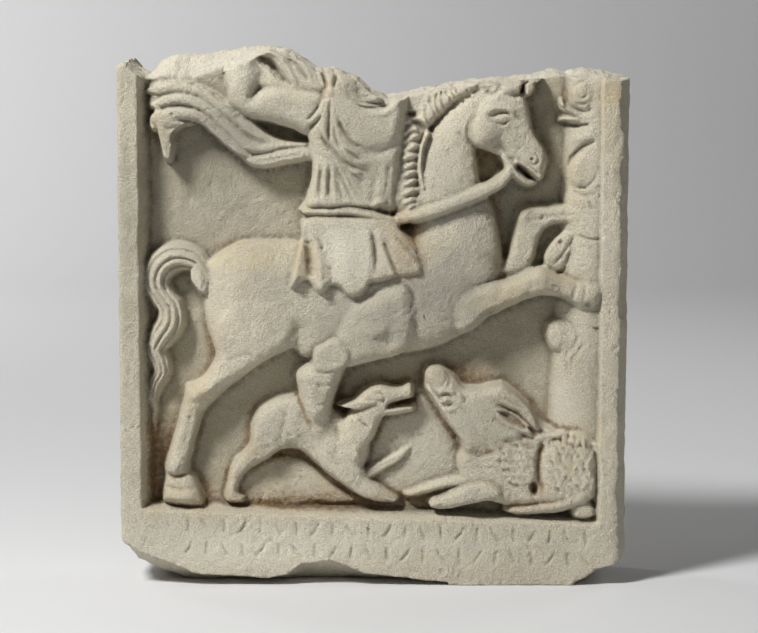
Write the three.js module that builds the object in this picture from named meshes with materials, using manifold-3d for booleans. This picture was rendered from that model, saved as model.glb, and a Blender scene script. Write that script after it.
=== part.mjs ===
// A broken marble grave stele: a slab with a sunk field, in which a horseman hunts a boar with his dog.
// Millimetres, +Z up. The carved face looks along -Y, the rough back is flat, the origin is at the bottom
// centre.
import * as THREE from "three";
import Module from "manifold-3d";

// Driving dimensions
const stele = { width: 520, height: 548, thickness: 105 };
const border = { left: 25, right: 31 }; // widths of the two upright borders of the field
const ledge = { height: 71, fall: 17, rise: 5 }; // inscribed band below; its top falls to the right
const field = { depth: 32, wallSlope: 9 }; // how far the ground lies behind the borders
const relief = { height: 42 }; // how far the most raised figure stands over the ground
const wear = { left: 4, right: 10, side: 3.5, broken: 3 }; // rounded front arrises and uneven sides
const lettering = { rows: 2, height: 16, depth: 1.6, width: 3, pitch: 18, rowGap: 7, margin: 72, top: 7 };
const drill = { diameter: 6, depth: 6 }; // the hole beside the raised hoof; its depth is in the ground

// The drawing board that the hunt is drawn on: squares of 1 mm at the slab's first size, with the slab's
// lower left corner at (left, foot). It is stretched over the slab, so the figures keep filling the field.
const board = {
  left: 13, foot: 10, right: 533, top: 552, ledge: 81, fieldLeft: 38, fieldRight: 502, relief: 42,
};
const frontPlane = -stele.thickness;
const groundPlane = frontPlane + field.depth;
const { lerp, mapLinear, clamp, smoothstep } = THREE.MathUtils;

function placeX(x) {
  const half = stele.width / 2;
  const [wallLeft, wallRight] = [-half + border.left, half - border.right];
  if (x < board.fieldLeft) return mapLinear(x, board.left, board.fieldLeft, -half, wallLeft);
  if (x > board.fieldRight) return mapLinear(x, board.fieldRight, board.right, wallRight, half);
  return mapLinear(x, board.fieldLeft, board.fieldRight, wallLeft, wallRight);
}

function placeZ(z) {
  if (z < board.ledge) return mapLinear(z, board.foot, board.ledge, 0, ledge.height);
  return mapLinear(z, board.ledge, board.top, ledge.height, stele.height);
}

const reliefScale = relief.height / board.relief;

// A closed solid through a row of rings with equal numbers of points; capOf gives the triangles of an end
const wasm = await Module();
wasm.setup();

function loft(rings, capOf) {
  const n = rings[0].length;
  const triangles = [];
  for (let i = 0; i + 1 < rings.length; i++) {
    for (let k = 0; k < n; k++) {
      const [a, b] = [i * n + k, i * n + ((k + 1) % n)];
      triangles.push(a, b, b + n, a, b + n, a + n);
    }
  }
  const last = (rings.length - 1) * n;
  for (const [a, b, c] of capOf(rings[0])) triangles.push(a, c, b);
  for (const [a, b, c] of capOf(rings.at(-1))) triangles.push(last + a, last + b, last + c);
  const vertProperties = new Float32Array(rings.flat().flatMap((p) => p.toArray()));
  const triVerts = new Uint32Array(triangles);
  return new wasm.Manifold(new wasm.Mesh({ numProp: 3, vertProperties, triVerts }));
}

const fanCap = (ring) => ring.slice(2).map((_, k) => [0, k + 1, k + 2]);

function outlineCap(ring) {
  const flat = ring.map((p) => new THREE.Vector2(p.z, p.x));
  return THREE.ShapeUtils.triangulateShape(flat, []).map((t) => orient(t, flat));
}

function orient([a, b, c], flat) {
  const [toB, toC] = [flat[b].clone().sub(flat[a]), flat[c].clone().sub(flat[a])];
  return toB.cross(toC) > 0 ? [a, b, c] : [a, c, b];
}

// Stations are [x, z, half width, height over the ground]; this puts a smooth curve through them
function smooth(stations, steps) {
  const curve = (points) => new THREE.CatmullRomCurve3(points, false, "catmullrom");
  const along = curve(stations.map(([x, z]) => new THREE.Vector3(x, z, 0)));
  const size = curve(stations.map(([, , r, out]) => new THREE.Vector3(r, out, 0)));
  const count = (stations.length - 1) * steps;
  return Array.from({ length: count + 1 }, (_, i) => {
    const [p, s] = [along.getPoint(i / count), size.getPoint(i / count)];
    return [p.x, p.y, Math.max(s.x, 1), s.y];
  });
}

const rounded = (value, square) => Math.sign(value) * Math.abs(value) ** (2 / square);

// A carved form: a section swept along its stations. lift raises its widest line off the ground and so
// undercuts it, and square above 2 gives it a flatter top and steeper sides.
function limb(stations, { sides = 8, square = 2, lift = 0 } = {}) {
  const rings = stations.map(([x, z, r, out], i) => {
    const [before, after] = [stations[Math.max(i - 1, 0)], stations[Math.min(i + 1, stations.length - 1)]];
    const along = new THREE.Vector2(after[0] - before[0], after[1] - before[1]).normalize();
    const rise = Math.max(out - lift, 1);
    return Array.from({ length: sides }, (_, k) => {
      const angle = (2 * Math.PI * (k + (sides > 4 ? 0.5 : 0))) / sides;
      const across = r * rounded(Math.cos(angle), square);
      const depth = lift + rise * rounded(Math.sin(angle), square);
      return carved(x - along.y * across, z + along.x * across, depth);
    });
  });
  return loft(rings, fanCap);
}

// The point at a place on the board and a height over the ground
const carved = (x, z, out) => new THREE.Vector3(placeX(x), groundPlane - out * reliefScale, placeZ(z));

// A rounded boss, such as a joint, a jowl or an eye
function boss(x, z, rx, rz, out, { lift = 0, sides = 8 } = {}) {
  const shares = sides > 6 ? [-0.88, -0.4, 0.4, 0.88] : [-0.8, 0, 0.8];
  const stations = shares.map((s) => {
    const round = Math.sqrt(1 - s * s);
    return [x + s * rx, z, rz * round, lift + (out - lift) * round];
  });
  return limb(stations, { lift, sides });
}

// How high a form's surface lies at a place on the board, so that a fold or lock can lie on it
function surfaceOf(stations, { square = 2, lift = 0 } = {}) {
  const path = smooth(stations, 4);
  return (x, z) => {
    const away = ([px, pz]) => Math.hypot(px - x, pz - z);
    const near = path.reduce((a, b) => (away(b) < away(a) ? b : a));
    const off = Math.min(away(near) / near[2], 0.95);
    return lift + (near[3] - lift) * (1 - off ** square) ** (1 / square);
  };
}

// A fold, lock or strap that lies on a surface; its points are [x, z, half width, height over the surface]
function fold(points, surface) {
  const bed = points.map(([x, z]) => surface(x, z));
  const stations = points.map(([x, z, r, height], i) => [x, z, r, bed[i] + height]);
  return limb(stations, { sides: 4, lift: Math.min(...bed) - 6 });
}

// The slab: outlines of its broken top and its underside, in front and at the back, as [x, z] on the board
const brokenTop = {
  front: [[13, 530], [25, 537], [37, 526], [44, 520], [60, 517], [95, 516], [112, 521], [126, 530],
    [150, 541], [170, 549], [186, 545], [203, 539], [216, 530], [232, 529], [246, 526], [258, 521],
    [272, 508], [288, 501], [305, 503], [330, 508], [350, 512], [380, 515], [420, 517], [446, 519],
    [470, 521], [505, 523], [533, 519]],
  back: [[13, 532], [25, 540], [37, 528], [44, 524], [52, 531], [72, 543], [128, 548], [150, 553],
    [170, 554], [186, 549], [203, 540], [216, 531], [232, 530], [246, 526], [258, 521], [272, 508],
    [288, 501], [305, 505], [330, 510], [350, 515], [380, 518], [420, 522], [457, 528], [470, 525],
    [486, 530], [505, 527], [533, 521]],
};
const brokenFoot = {
  front: [[13, 62], [20, 52], [40, 40], [60, 33], [75, 28], [90, 21], [140, 18], [165, 15], [185, 19],
    [200, 31], [230, 34], [246, 28], [265, 20], [300, 17], [330, 13], [360, 10], [475, 10], [490, 17],
    [502, 25], [520, 30], [531, 38], [533, 52]],
  back: [[13, 52], [30, 32], [60, 16], [78, 10], [480, 10], [500, 17], [520, 34], [533, 50]],
};

function heightAt(outline, x) {
  const i = clamp(outline.findIndex((p) => p[0] >= x), 1, outline.length - 1);
  const [[x0, z0], [x1, z1]] = [outline[i - 1], outline[i]];
  return lerp(z0, z1, clamp((x - x0) / (x1 - x0), 0, 1));
}

// Unevenness of hewn and broken stone, from -1 to 1
const uneven = (a, b) => (Math.sin(a * 0.31 + b * 7.3) + Math.sin(a * 0.137 - b * 4.1 + 1.7)) / 2;

function slab() {
  const layers = [0, 0.08, 0.27, 0.6, 1]; // shares of the thickness, from the front
  const columns = 28;
  const rows = 6;
  const rings = layers.map((t) => {
    const y = lerp(frontPlane, 0, t);
    const topBlend = smoothstep(t, 0.2, 0.6);
    const footBlend = smoothstep(t, 0.1, 0.4);
    const front = 1 - smoothstep(t, 0, 0.24);
    const edge = t > 0 && t < 1 ? 1 : 0.4;
    const top = (x) => {
      const z = lerp(heightAt(brokenTop.front, x), heightAt(brokenTop.back, x), topBlend);
      return Math.min(board.top, z - wear.left * front + edge * wear.broken * uneven(x, t));
    };
    const foot = (x) => {
      const z = lerp(heightAt(brokenFoot.front, x), heightAt(brokenFoot.back, x), footBlend);
      return z > board.foot + 1 ? z + wear.left * front * 0.5 : board.foot;
    };
    const side = (z, inset, seed) => {
      const rough = (0.5 + 0.5 * uneven(z, t + seed)) * Math.sin(Math.PI * t);
      return inset * front + rough * wear.side;
    };
    const inward = (share, z) => {
      const [low, high] = [board.left + side(z, wear.left, 0), board.right - side(z, wear.right, 3)];
      return lerp(low, high, share);
    };
    const [footLine, topLine] = [[], []];
    for (let i = 0; i <= columns; i++) {
      const share = i / columns;
      const x = lerp(board.left, board.right, share);
      footLine.push([inward(share, foot(x)), foot(x)]);
      topLine.push([inward(share, top(x)), top(x)]);
    }
    const upright = (share, from, to) => Array.from({ length: rows - 1 }, (_, i) => {
      const z = lerp(from, to, (i + 1) / rows);
      return [inward(share, z), z];
    });
    const left = upright(0, footLine[0][1], topLine[0][1]);
    const right = upright(1, topLine.at(-1)[1], footLine.at(-1)[1]);
    return [...left, ...topLine, ...right, ...footLine.reverse()]
      .map(([x, z]) => new THREE.Vector3(placeX(x), y, placeZ(z)));
  });
  return loft(rings, outlineCap);
}

// What is cut out of the slab for the field: its walls lean, and it is open at the broken top
function fieldSpace() {
  const clear = 60;
  const mouth = { left: board.fieldLeft, right: board.fieldRight, lean: 0, y: frontPlane };
  const floor = { left: board.fieldLeft + field.wallSlope, right: board.fieldRight - field.wallSlope * 0.5,
    lean: ledge.rise, y: groundPlane };
  const spread = (near, far, key) => near[key] + (near[key] - far[key]) * (clear / field.depth);
  const outer = { left: spread(mouth, floor, "left"), right: spread(mouth, floor, "right"),
    lean: spread(mouth, floor, "lean"), y: frontPlane - clear };
  const rings = [outer, floor].map(({ left, right, lean, y }) => {
    const low = (share) => placeZ(board.ledge) + ledge.fall * (0.5 - share) + lean;
    const high = stele.height + clear;
    const [x0, x1] = [placeX(left), placeX(right)];
    return [[x0, low(0)], [x0, high], [x1, high], [x1, low(1)]].map(([x, z]) => new THREE.Vector3(x, y, z));
  });
  return loft(rings, fanCap);
}

// The horse
const barrel = [[103, 296, 20, 13], [112, 297, 38, 24], [132, 300, 54, 31], [160, 303, 57, 33],
  [200, 304, 54, 32], [240, 300, 56, 32], [290, 300, 60, 34], [340, 310, 58, 35], [380, 318, 47, 32],
  [399, 320, 30, 24], [407, 321, 12, 12]];
const neck = [[340, 322, 50, 34], [355, 358, 47, 34], [356, 395, 40, 32], [351, 430, 32, 30],
  [354, 458, 28, 28], [365, 480, 26, 28], [388, 497, 18, 26]];
const muzzle = [[386, 504, 16, 26], [397, 494, 26, 33], [404, 480, 33, 38], [412, 464, 28, 38],
  [421, 450, 20, 36], [430, 440, 16, 35], [438, 431, 14, 33], [443, 424, 8, 27]];
const nearFore = [[340, 294, 28, 31], [368, 290, 26, 36], [392, 298, 20, 39], [420, 308, 15, 40],
  [441, 316, 16, 41], [458, 311, 14, 40], [474, 305, 12, 38], [487, 301, 14, 37], [500, 297, 12, 35],
  [508, 295, 7, 26]];
const farFore = [[404, 318, 14, 18], [413, 342, 13, 20], [424, 366, 12, 20], [436, 380, 12, 20],
  [456, 385, 9, 18], [474, 387, 9, 16], [486, 386, 6, 12]];
const hindLeg = [[166, 296, 40, 31], [146, 272, 38, 34], [126, 245, 29, 34], [106, 217, 19, 31],
  [94, 205, 14, 31], [90, 190, 12, 30], [86, 170, 11, 28], [79, 148, 11, 28], [73, 133, 14, 29],
  [73, 124, 12, 28], [74, 119, 14, 29], [77, 107, 20, 30], [78, 94, 21, 30]];
const tail = [[104, 319, 11, 20], [90, 334, 14, 22], [71, 340, 17, 23], [56, 329, 17, 22],
  [53, 311, 16, 21], [66, 290, 14, 20], [65, 271, 15, 21], [51, 254, 14, 20], [58, 232, 11, 19],
  [48, 213, 9, 17], [47, 160, 4, 8]];
const mane = [[314, 394, 11, 27], [311, 425, 13, 29], [317, 455, 13, 30], [334, 484, 12, 30],
  [358, 503, 12, 30], [384, 511, 10, 28]];
const lowerJaw = [[407, 437, 6, 33], [418, 427, 6, 31], [429, 418, 5, 30], [435, 416, 3, 28]];
const rein = [[300, 384, 7, 41], [320, 391, 7, 42], [350, 401, 7, 43], [380, 413, 7, 42],
  [400, 420, 7, 41], [408, 430, 6, 38], [411, 437, 5, 36]];

// The rider, whose head is lost
const torso = [[248, 386, 43, 34], [250, 400, 44, 40], [254, 435, 46, 42], [259, 465, 48, 42],
  [262, 490, 44, 38], [259, 511, 28, 29]];
const skirt = [[247, 386, 44, 38], [251, 360, 54, 42], [258, 328, 66, 41], [260, 319, 64, 38]];
const calf = [[308, 310, 12, 32], [299, 301, 25, 41], [286, 289, 29, 42], [268, 272, 26, 42],
  [252, 258, 21, 41], [236, 245, 18, 40]];
const foot = [[240, 252, 17, 40], [230, 241, 20, 42], [217, 226, 23, 42], [212, 206, 18, 40],
  [212, 186, 15, 36], [217, 168, 11, 30], [222, 155, 5, 22]];
const upperArm = [[225, 498, 22, 38], [205, 491, 22, 41], [182, 490, 21, 40], [160, 490, 20, 39],
  [144, 494, 17, 37]];
const foreArm = [[139, 488, 15, 36], [140, 502, 19, 38], [142, 520, 18, 38], [142, 538, 17, 37]];
const cloakTop = [[158, 533, 10, 24], [172, 539, 12, 28], [192, 533, 16, 32], [208, 522, 16, 36],
  [220, 508, 14, 38]];
const cloakUpper = [[230, 455, 12, 22], [200, 458, 14, 23], [170, 456, 14, 23], [145, 466, 14, 23],
  [122, 486, 14, 23], [100, 499, 13, 23], [78, 501, 14, 24], [60, 497, 12, 23], [50, 488, 8, 18]];
const cloakLower = [[230, 443, 10, 26], [195, 441, 11, 28], [165, 445, 12, 29], [140, 458, 13, 30],
  [118, 474, 13, 31], [96, 484, 13, 32], [78, 482, 13, 32], [67, 470, 10, 31], [64, 452, 7, 28],
  [62, 440, 4, 22]];

// The dog, the boar, and the tree with its snake
const dogBody = [[156, 172, 14, 18], [168, 174, 24, 25], [185, 173, 27, 27], [205, 168, 27, 27],
  [225, 161, 28, 28], [243, 151, 27, 28], [257, 141, 18, 22]];
const dogHind = [[163, 166, 20, 25], [150, 150, 15, 22], [139, 136, 11, 20], [130, 122, 8, 18],
  [128, 109, 8, 18], [131, 100, 9, 18], [140, 96, 6, 14]];
const dogFore = [[238, 132, 14, 25], [255, 120, 12, 24], [271, 109, 10, 22], [286, 100, 9, 20],
  [298, 96, 6, 15]];
const dogFarFore = [[260, 126, 7, 15], [280, 135, 6, 14], [297, 143, 6, 13], [304, 148, 4, 10]];
const dogNeck = [[240, 160, 24, 27], [254, 180, 19, 28], [266, 195, 15, 28]];
const dogHead = [[260, 201, 11, 25], [273, 203, 13, 30], [287, 204, 10, 30], [300, 205, 8, 28],
  [312, 207, 5, 23]];
const dogJaw = [[282, 190, 7, 25], [297, 186, 5, 23], [310, 184, 4, 20]];
const dogEar = [[274, 200, 5, 32], [260, 196, 6, 31], [243, 190, 4, 27]];
const boarHead = [[424, 158, 36, 28], [402, 172, 36, 32], [383, 184, 31, 34], [366, 196, 23, 34],
  [352, 207, 17, 33], [341, 215, 13, 32], [333, 220, 12, 30], [328, 223, 9, 24]];
const boarFront = [[372, 130, 22, 22], [384, 128, 34, 30], [402, 128, 40, 33], [426, 130, 42, 33],
  [450, 128, 36, 27]];
const boarRear = [[444, 128, 26, 24], [456, 130, 35, 31], [472, 131, 38, 34], [487, 130, 34, 32],
  [499, 127, 22, 22]];
const boarEar = [[399, 214, 6, 34], [408, 205, 12, 40], [419, 193, 13, 41], [428, 180, 9, 39],
  [434, 170, 4, 34]];
const boarFore = [[400, 116, 16, 36], [378, 109, 13, 36], [357, 101, 10, 34], [342, 94, 8, 32],
  [330, 90, 6, 26]];
const boarFarFore = [[368, 119, 7, 26], [346, 113, 6, 24], [325, 106, 6, 22], [307, 100, 4, 17]];
const boarHind = [[484, 102, 13, 34], [458, 92, 9, 33], [432, 88, 8, 31], [411, 86, 5, 26]];
const trunk = [[474, 152, 22, 12], [476, 200, 26, 16], [480, 260, 28, 20], [482, 330, 26, 19],
  [485, 400, 20, 15], [486, 450, 20, 14], [474, 516, 18, 12]];
const snake = [[478, 366, 6, 20], [493, 384, 7, 22], [498, 408, 7, 22], [480, 414, 6, 19],
  [466, 424, 8, 21], [470, 446, 8, 23], [494, 461, 8, 23], [488, 481, 8, 26]];
const snakeJaws = [
  [[490, 485, 8, 27], [476, 488, 8, 27], [463, 493, 4, 23]],
  [[488, 479, 6, 25], [475, 475, 5, 24], [464, 477, 3, 21]],
];
const leaf = [[444, 334, 4, 12], [454, 350, 10, 18], [466, 362, 9, 18], [478, 369, 4, 13]];

function horse() {
  const forms = [limb(barrel, { sides: 12, square: 2.5 }), limb(neck, { sides: 10, square: 2.3 }),
    limb(muzzle, { sides: 10, lift: 10 }), limb(nearFore, { sides: 10, lift: 8 }), limb(farFore),
    limb(hindLeg, { sides: 10, lift: 4 }),
    limb(tail), limb(mane), limb(lowerJaw, { lift: 16 }), limb(rein, { lift: 34 }),
    boss(388, 470, 21, 22, 39, { lift: 8 }), boss(438, 429, 10, 9, 36, { lift: 12 })];
  for (const [x, r, out] of [[410, 8, 36], [427, 6, 30]]) { // the ears, broken short
    const ear = [[x - 3, 494, r + 2, out], [x, 508, r, out], [x + 1, 518, r - 2, out - 6]];
    forms.push(limb(ear, { sides: 6 }));
  }
  for (const side of [-0.5, 0.5]) { // the two strands that part the tail
    forms.push(limb(tail.slice(1, -2).map(([x, z, r, out], i, all) => {
      const [from, to] = [all[Math.max(i - 1, 0)], all[Math.min(i + 1, all.length - 1)]];
      const along = new THREE.Vector2(to[0] - from[0], to[1] - from[1]).normalize();
      return [x - along.y * r * side, z + along.x * r * side, r * 0.34, out + 2];
    }), { sides: 4, lift: 6 }));
  }
  const hair = surfaceOf(mane);
  const locks = 10; // of the mane, from the withers to the poll
  const path = smooth(mane, 8);
  for (let i = 0; i < locks; i++) {
    const t = i / (locks - 1);
    const [x, z, r] = path[Math.round(t * (path.length - 1))];
    const turn = 0.25 + 1.1 * t; // how far a lock slants
    const [across, up] = [r * Math.cos(turn) * 0.85, r * Math.sin(turn) * 0.85];
    forms.push(fold([[x + across, z - up, 4, 7], [x, z, 5, 5], [x - across, z + up, 4, 7]], hair));
  }
  return forms;
}

function rider() {
  const chest = { square: 2.6, lift: 12 };
  const hips = { square: 4, lift: 20 };
  const forms = [limb(torso, { ...chest, sides: 12 }), limb(skirt, { ...hips, sides: 14 }),
    limb(calf, { sides: 10, lift: 22 }),
    limb(foot, { lift: 16 }), limb(upperArm, { lift: 10 }), limb(foreArm, { lift: 8 }),
    limb([[262, 490, 17, 36], [267, 502, 17, 36], [270, 511, 16, 35]], { lift: 12 }), limb(cloakTop),
    limb(cloakUpper, { square: 3 }), limb(cloakLower, { square: 3, lift: 6 }),
    boss(230, 518, 7, 13, 43, { lift: 20 })];
  const tunic = surfaceOf(torso, chest);
  forms.push(fold([[206, 391, 5, 3], [248, 390, 5, 3], [290, 388, 5, 3]], tunic)); // the belt
  const pouches = 8; // where the tunic bags over the belt
  for (let i = 0; i < pouches; i++) {
    const [x, z] = [210 + 11 * i, 400 - 0.9 * i];
    forms.push(boss(x, z, 6, 6, tunic(x, z) + 3, { lift: 24, sides: 6 }));
  }
  const strands = 5; // folds that fall from the shoulder to the belt
  for (let i = 0; i < strands; i++) {
    const t = i / (strands - 1);
    const line = [[227 + 12 * t, 500, 3, 5], [222 + 18 * t, 470, 4, 5], [212 + 36 * t, 410, 4, 4]];
    forms.push(fold(line, tunic));
  }
  const sweeps = 3; // curved folds across the breast
  for (let i = 0; i < sweeps; i++) {
    const drop = 15 * i;
    forms.push(fold([[240, 482 - drop, 3, 3], [252, 456 - drop, 5, 4], [272, 450 - drop, 5, 4],
      [296, 470 - drop, 4, 4]], tunic));
  }
  forms.push(fold([[246, 500, 4, 3], [262, 490, 5, 4], [282, 490, 5, 4], [299, 500, 4, 3]], tunic));
  const sleeve = surfaceOf(upperArm, { lift: 10 });
  forms.push(fold([[220, 510, 4, 5], [213, 493, 5, 5], [205, 475, 5, 4], [216, 481, 4, 3]], sleeve));
  const cloth = surfaceOf(skirt, hips);
  const pleats = [[205, 198, 316], [216, 212, 312], [233, 229, 309], [268, 275, 318], [282, 297, 322],
    [293, 315, 326]];
  for (const [topX, lowX, lowZ] of pleats) {
    forms.push(fold([[topX, 378, 4, 3], [(topX + lowX) / 2, 350, 6, 4], [lowX, lowZ, 8, 5]], cloth));
  }
  forms.push(limb([[245, 256, 12, 42], [237, 246, 21, 44], [229, 237, 20, 43]], { lift: 20 }));
  const ridge = [[228, 447], [190, 450], [160, 450], [134, 465], [108, 486], [82, 496], [58, 488]];
  forms.push(limb(ridge.map(([x, z], i) => [x, z, 5, 26 - i * 0.4]), { sides: 4, lift: 8 }));
  const shoulderFolds = 3;
  for (let i = 0; i < shoulderFolds; i++) {
    const x = 168 + 20 * i;
    const line = [[x, 545 - 4 * i, 3, 33], [x + 12, 534 - 4 * i, 4, 37], [x + 20, 519 - 3 * i, 4, 38]];
    forms.push(limb(line, { sides: 4, lift: 18 }));
  }
  return forms;
}

function prey() {
  const forms = [limb(dogBody), limb(dogHind), limb(dogFore, { lift: 4 }), limb(dogFarFore), limb(dogNeck),
    limb(dogHead, { lift: 6 }), limb(dogJaw), limb(dogEar, { sides: 6, lift: 16 }),
    limb(boarHead, { sides: 10 }), limb(boarFront, { sides: 10 }), limb(boarRear, { sides: 10 }),
    limb(boarEar, { lift: 22 }), limb(boarFore, { lift: 8 }), limb(boarFarFore), limb(boarHind, { lift: 6 }),
    boss(487, 84, 10, 9, 30)];
  const hide = surfaceOf(boarRear);
  const shoulder = surfaceOf(boarFront);
  const bristles = 7;
  for (let i = 0; i < bristles; i++) {
    const angle = lerp(2.5, 0.7, i / (bristles - 1));
    forms.push(boss(471 + 29 * Math.cos(angle), 128 + 39 * Math.sin(angle), 5, 6, 26, { sides: 6 }));
  }
  for (let row = 0; row < 3; row++) { // the curls of its coat
    for (let i = 0; i < 3; i++) {
      const [x, z] = [455 + 15 * i + 4 * (row % 2), 148 - 18 * row];
      forms.push(boss(x, z, 7, 7, hide(x, z) + 3, { lift: hide(x, z) - 8, sides: 6 }));
      const [u, w] = [390 + 18 * i + 6 * (row % 2), 142 - 18 * row];
      if (row < 2) forms.push(boss(u, w, 7, 7, shoulder(u, w) + 3, { lift: shoulder(u, w) - 8, sides: 6 }));
    }
  }
  return forms;
}

function treeAndSnake() {
  return [limb(trunk), limb(snake), ...snakeJaws.map((jaw) => limb(jaw, { lift: 8 })),
    limb(leaf), boss(484, 432, 12, 18, 20), boss(483, 503, 12, 12, 23), boss(456, 506, 9, 5, 12)];
}

// What the chisel and the drill took out of the figures
function cuts() {
  const groove = (points, depth) => limb(points.map(([x, z, r, out]) => [x, z, r, out + depth]),
    { sides: 6, lift: Math.max(...points.map((p) => p[3])) + depth - 0.5 });
  const slot = { sides: 6, lift: 30 };
  const mouth = limb([[416, 434, 2, 46], [426, 427, 2.6, 46], [438, 419, 2, 46]], slot);
  const boarMouth = limb([[325, 216, 1.5, 40], [334, 209, 2, 40], [342, 201, 1.2, 40]], slot);
  const earHollow = limb([[404, 196, 2, 50], [414, 185, 5, 50], [425, 175, 3, 50]], { lift: 37 });
  const radius = drill.diameter / 2;
  const hole = Array.from({ length: 8 }, (_, k) => (2 * Math.PI * k) / 8);
  const drilled = [frontPlane - relief.height, groundPlane + drill.depth].map((y) => hole.map((angle) =>
    new THREE.Vector3(placeX(489) + radius * Math.sin(angle), y, placeZ(293) + radius * Math.cos(angle))));
  const kneeLine = groove([[286, 312, 3, 40], [300, 318, 3, 40], [318, 322, 3, 36]], 4);
  return [mouth, boarMouth, earHollow, kneeLine, loft(drilled, fanCap)];
}

// Two rows of shallow chisel strokes that are no letters
function strokes() {
  const start = placeX(board.left) + lettering.margin;
  const end = placeX(board.right) - lettering.margin * 0.6;
  const count = Math.floor((end - start) / lettering.pitch);
  const leans = [0, 5, -1, -6, 1, 6, 0, -4]; // how far the top of a stroke stands to the right of its foot
  const cut = [];
  for (let row = 0; row < lettering.rows; row++) {
    for (let i = 0; i <= count; i++) {
      const x = lerp(start, end, i / count);
      const share = (x - placeX(board.left)) / stele.width;
      const edge = ledge.height + ledge.fall * (0.5 - share) - lettering.top;
      const high = edge - row * (lettering.height + lettering.rowGap);
      const lean = leans[(i * 3 + row) % leans.length];
      const low = high - lettering.height;
      cut.push(chiselCut(new THREE.Vector2(x + lean, high), new THREE.Vector2(x - lean, low)));
    }
  }
  return cut;
}

// A stroke with a V section, from a to b on the front plane
function chiselCut(a, b) {
  const along = new THREE.Vector2().subVectors(b, a).normalize();
  const half = lettering.width / 2;
  const above = 1;
  const wide = half * (1 + above / lettering.depth);
  const ring = (p) => [[-wide, -above], [wide, -above], [0, lettering.depth]].map(([across, deep]) =>
    new THREE.Vector3(p.x + along.y * across, frontPlane + deep, p.y - along.x * across));
  return loft([ring(a), ring(b)], fanCap);
}

function solidToGeometry(solid) {
  const { vertProperties, triVerts } = solid.getMesh();
  const geometry = new THREE.BufferGeometry();
  geometry.setAttribute("position", new THREE.BufferAttribute(vertProperties, 3));
  geometry.setIndex(new THREE.BufferAttribute(triVerts, 1));
  geometry.computeVertexNormals();
  return geometry;
}

const unite = (first, ...others) => others.reduce((whole, next) => whole.add(next), first);

const figures = unite(...horse(), ...rider(), ...prey(), ...treeAndSnake());
const block = slab().subtract(fieldSpace()).add(figures);
const stone = [...cuts(), ...strokes()].reduce((whole, cut) => whole.subtract(cut), block);
const geometry = solidToGeometry(stone);
geometry.computeBoundingBox();
const middle = geometry.boundingBox.getCenter(new THREE.Vector3());

const marble = new THREE.MeshStandardMaterial({ color: 0xbdb7a6, roughness: 0.78, metalness: 0 });
const carvedSlab = new THREE.Mesh(geometry, marble);
carvedSlab.name = "stele";
carvedSlab.position.y = -middle.y;

const grave = new THREE.Group();
grave.add(carvedSlab);
export default grave;
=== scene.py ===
# A broken marble grave stele with a mounted hunter, a hound and a boar, carved in relief
import math
import bpy
import bmesh
import numpy as np
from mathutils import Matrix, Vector


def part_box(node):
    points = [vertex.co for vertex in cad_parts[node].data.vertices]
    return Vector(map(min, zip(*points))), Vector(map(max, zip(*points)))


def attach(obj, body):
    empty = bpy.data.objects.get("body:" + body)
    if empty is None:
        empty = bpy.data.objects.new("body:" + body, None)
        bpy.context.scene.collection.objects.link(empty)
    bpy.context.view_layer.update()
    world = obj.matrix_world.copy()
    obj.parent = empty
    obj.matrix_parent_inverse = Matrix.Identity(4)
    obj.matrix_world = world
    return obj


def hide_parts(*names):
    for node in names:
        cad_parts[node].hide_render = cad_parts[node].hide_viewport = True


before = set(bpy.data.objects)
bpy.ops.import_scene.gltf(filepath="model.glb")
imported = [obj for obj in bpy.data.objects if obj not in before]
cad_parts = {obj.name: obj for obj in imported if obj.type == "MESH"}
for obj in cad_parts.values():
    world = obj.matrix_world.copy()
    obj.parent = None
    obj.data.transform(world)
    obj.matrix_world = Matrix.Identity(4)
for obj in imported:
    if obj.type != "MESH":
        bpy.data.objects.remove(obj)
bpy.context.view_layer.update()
mm = 0.001
lowCorner, highCorner = (np.array(corner) * 1000 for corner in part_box("stele"))    # mm

# The drawing board is in mm, with the slab's lower left corner at (left, foot).
# Heights are mm over the sunk ground of the field.
board = {"left": 13, "right": 533, "foot": 10, "top": 552, "ledge": 81, "step": 0.8, "margin": 4,
         "fieldLeft": 38, "fieldRight": 502, "fieldDepth": 32, "ledgeHeight": 71, "proud": 14.27}
frontY = lowCorner[1] + board["proud"]            # the plane of the borders
groundY = frontY + board["fieldDepth"]
backY = highCorner[1]
thickness = backY - frontY

step = board["step"]
lineX = np.arange(board["left"] - board["margin"], board["right"] + board["margin"], step)
lineZ = np.arange(board["foot"] - board["margin"], board["top"] + board["margin"], step)
mapX, mapZ = np.meshgrid(lineX, lineZ)
height = np.zeros(mapX.shape)
absent = -50                                      # level of a form where it isn't


def smoothstep(value, low, high):
    t = np.clip((value - low) / (high - low), 0, 1)
    return t * t * (3 - 2 * t)


def grain(points, size, seed):
    # smooth random values from -1 to 1
    count = 32
    lattice = np.random.default_rng(seed).uniform(-1, 1, (count, count, count))
    cell = np.floor(points / size).astype(int)
    part = points / size - cell
    part = part * part * (3 - 2 * part)
    value = 0
    for corner in range(8):
        offset = np.array([corner & 1, corner >> 1 & 1, corner >> 2])
        weight = np.prod(np.where(offset, part, 1 - part), axis=-1)
        i, j, k = np.moveaxis((cell + offset) % count, -1, 0)
        value = value + weight * lattice[i, j, k]
    return value


def boardGrain(x, z, size, seed):
    # each seed has its own slant, so that no cells line up
    slant, layer = seed * 1.3, seed * 7.7
    c, s = math.cos(slant), math.sin(slant)
    return grain(np.stack([c * x + s * z, np.full_like(x, layer), c * z - s * x], axis=-1), size, seed)


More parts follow.
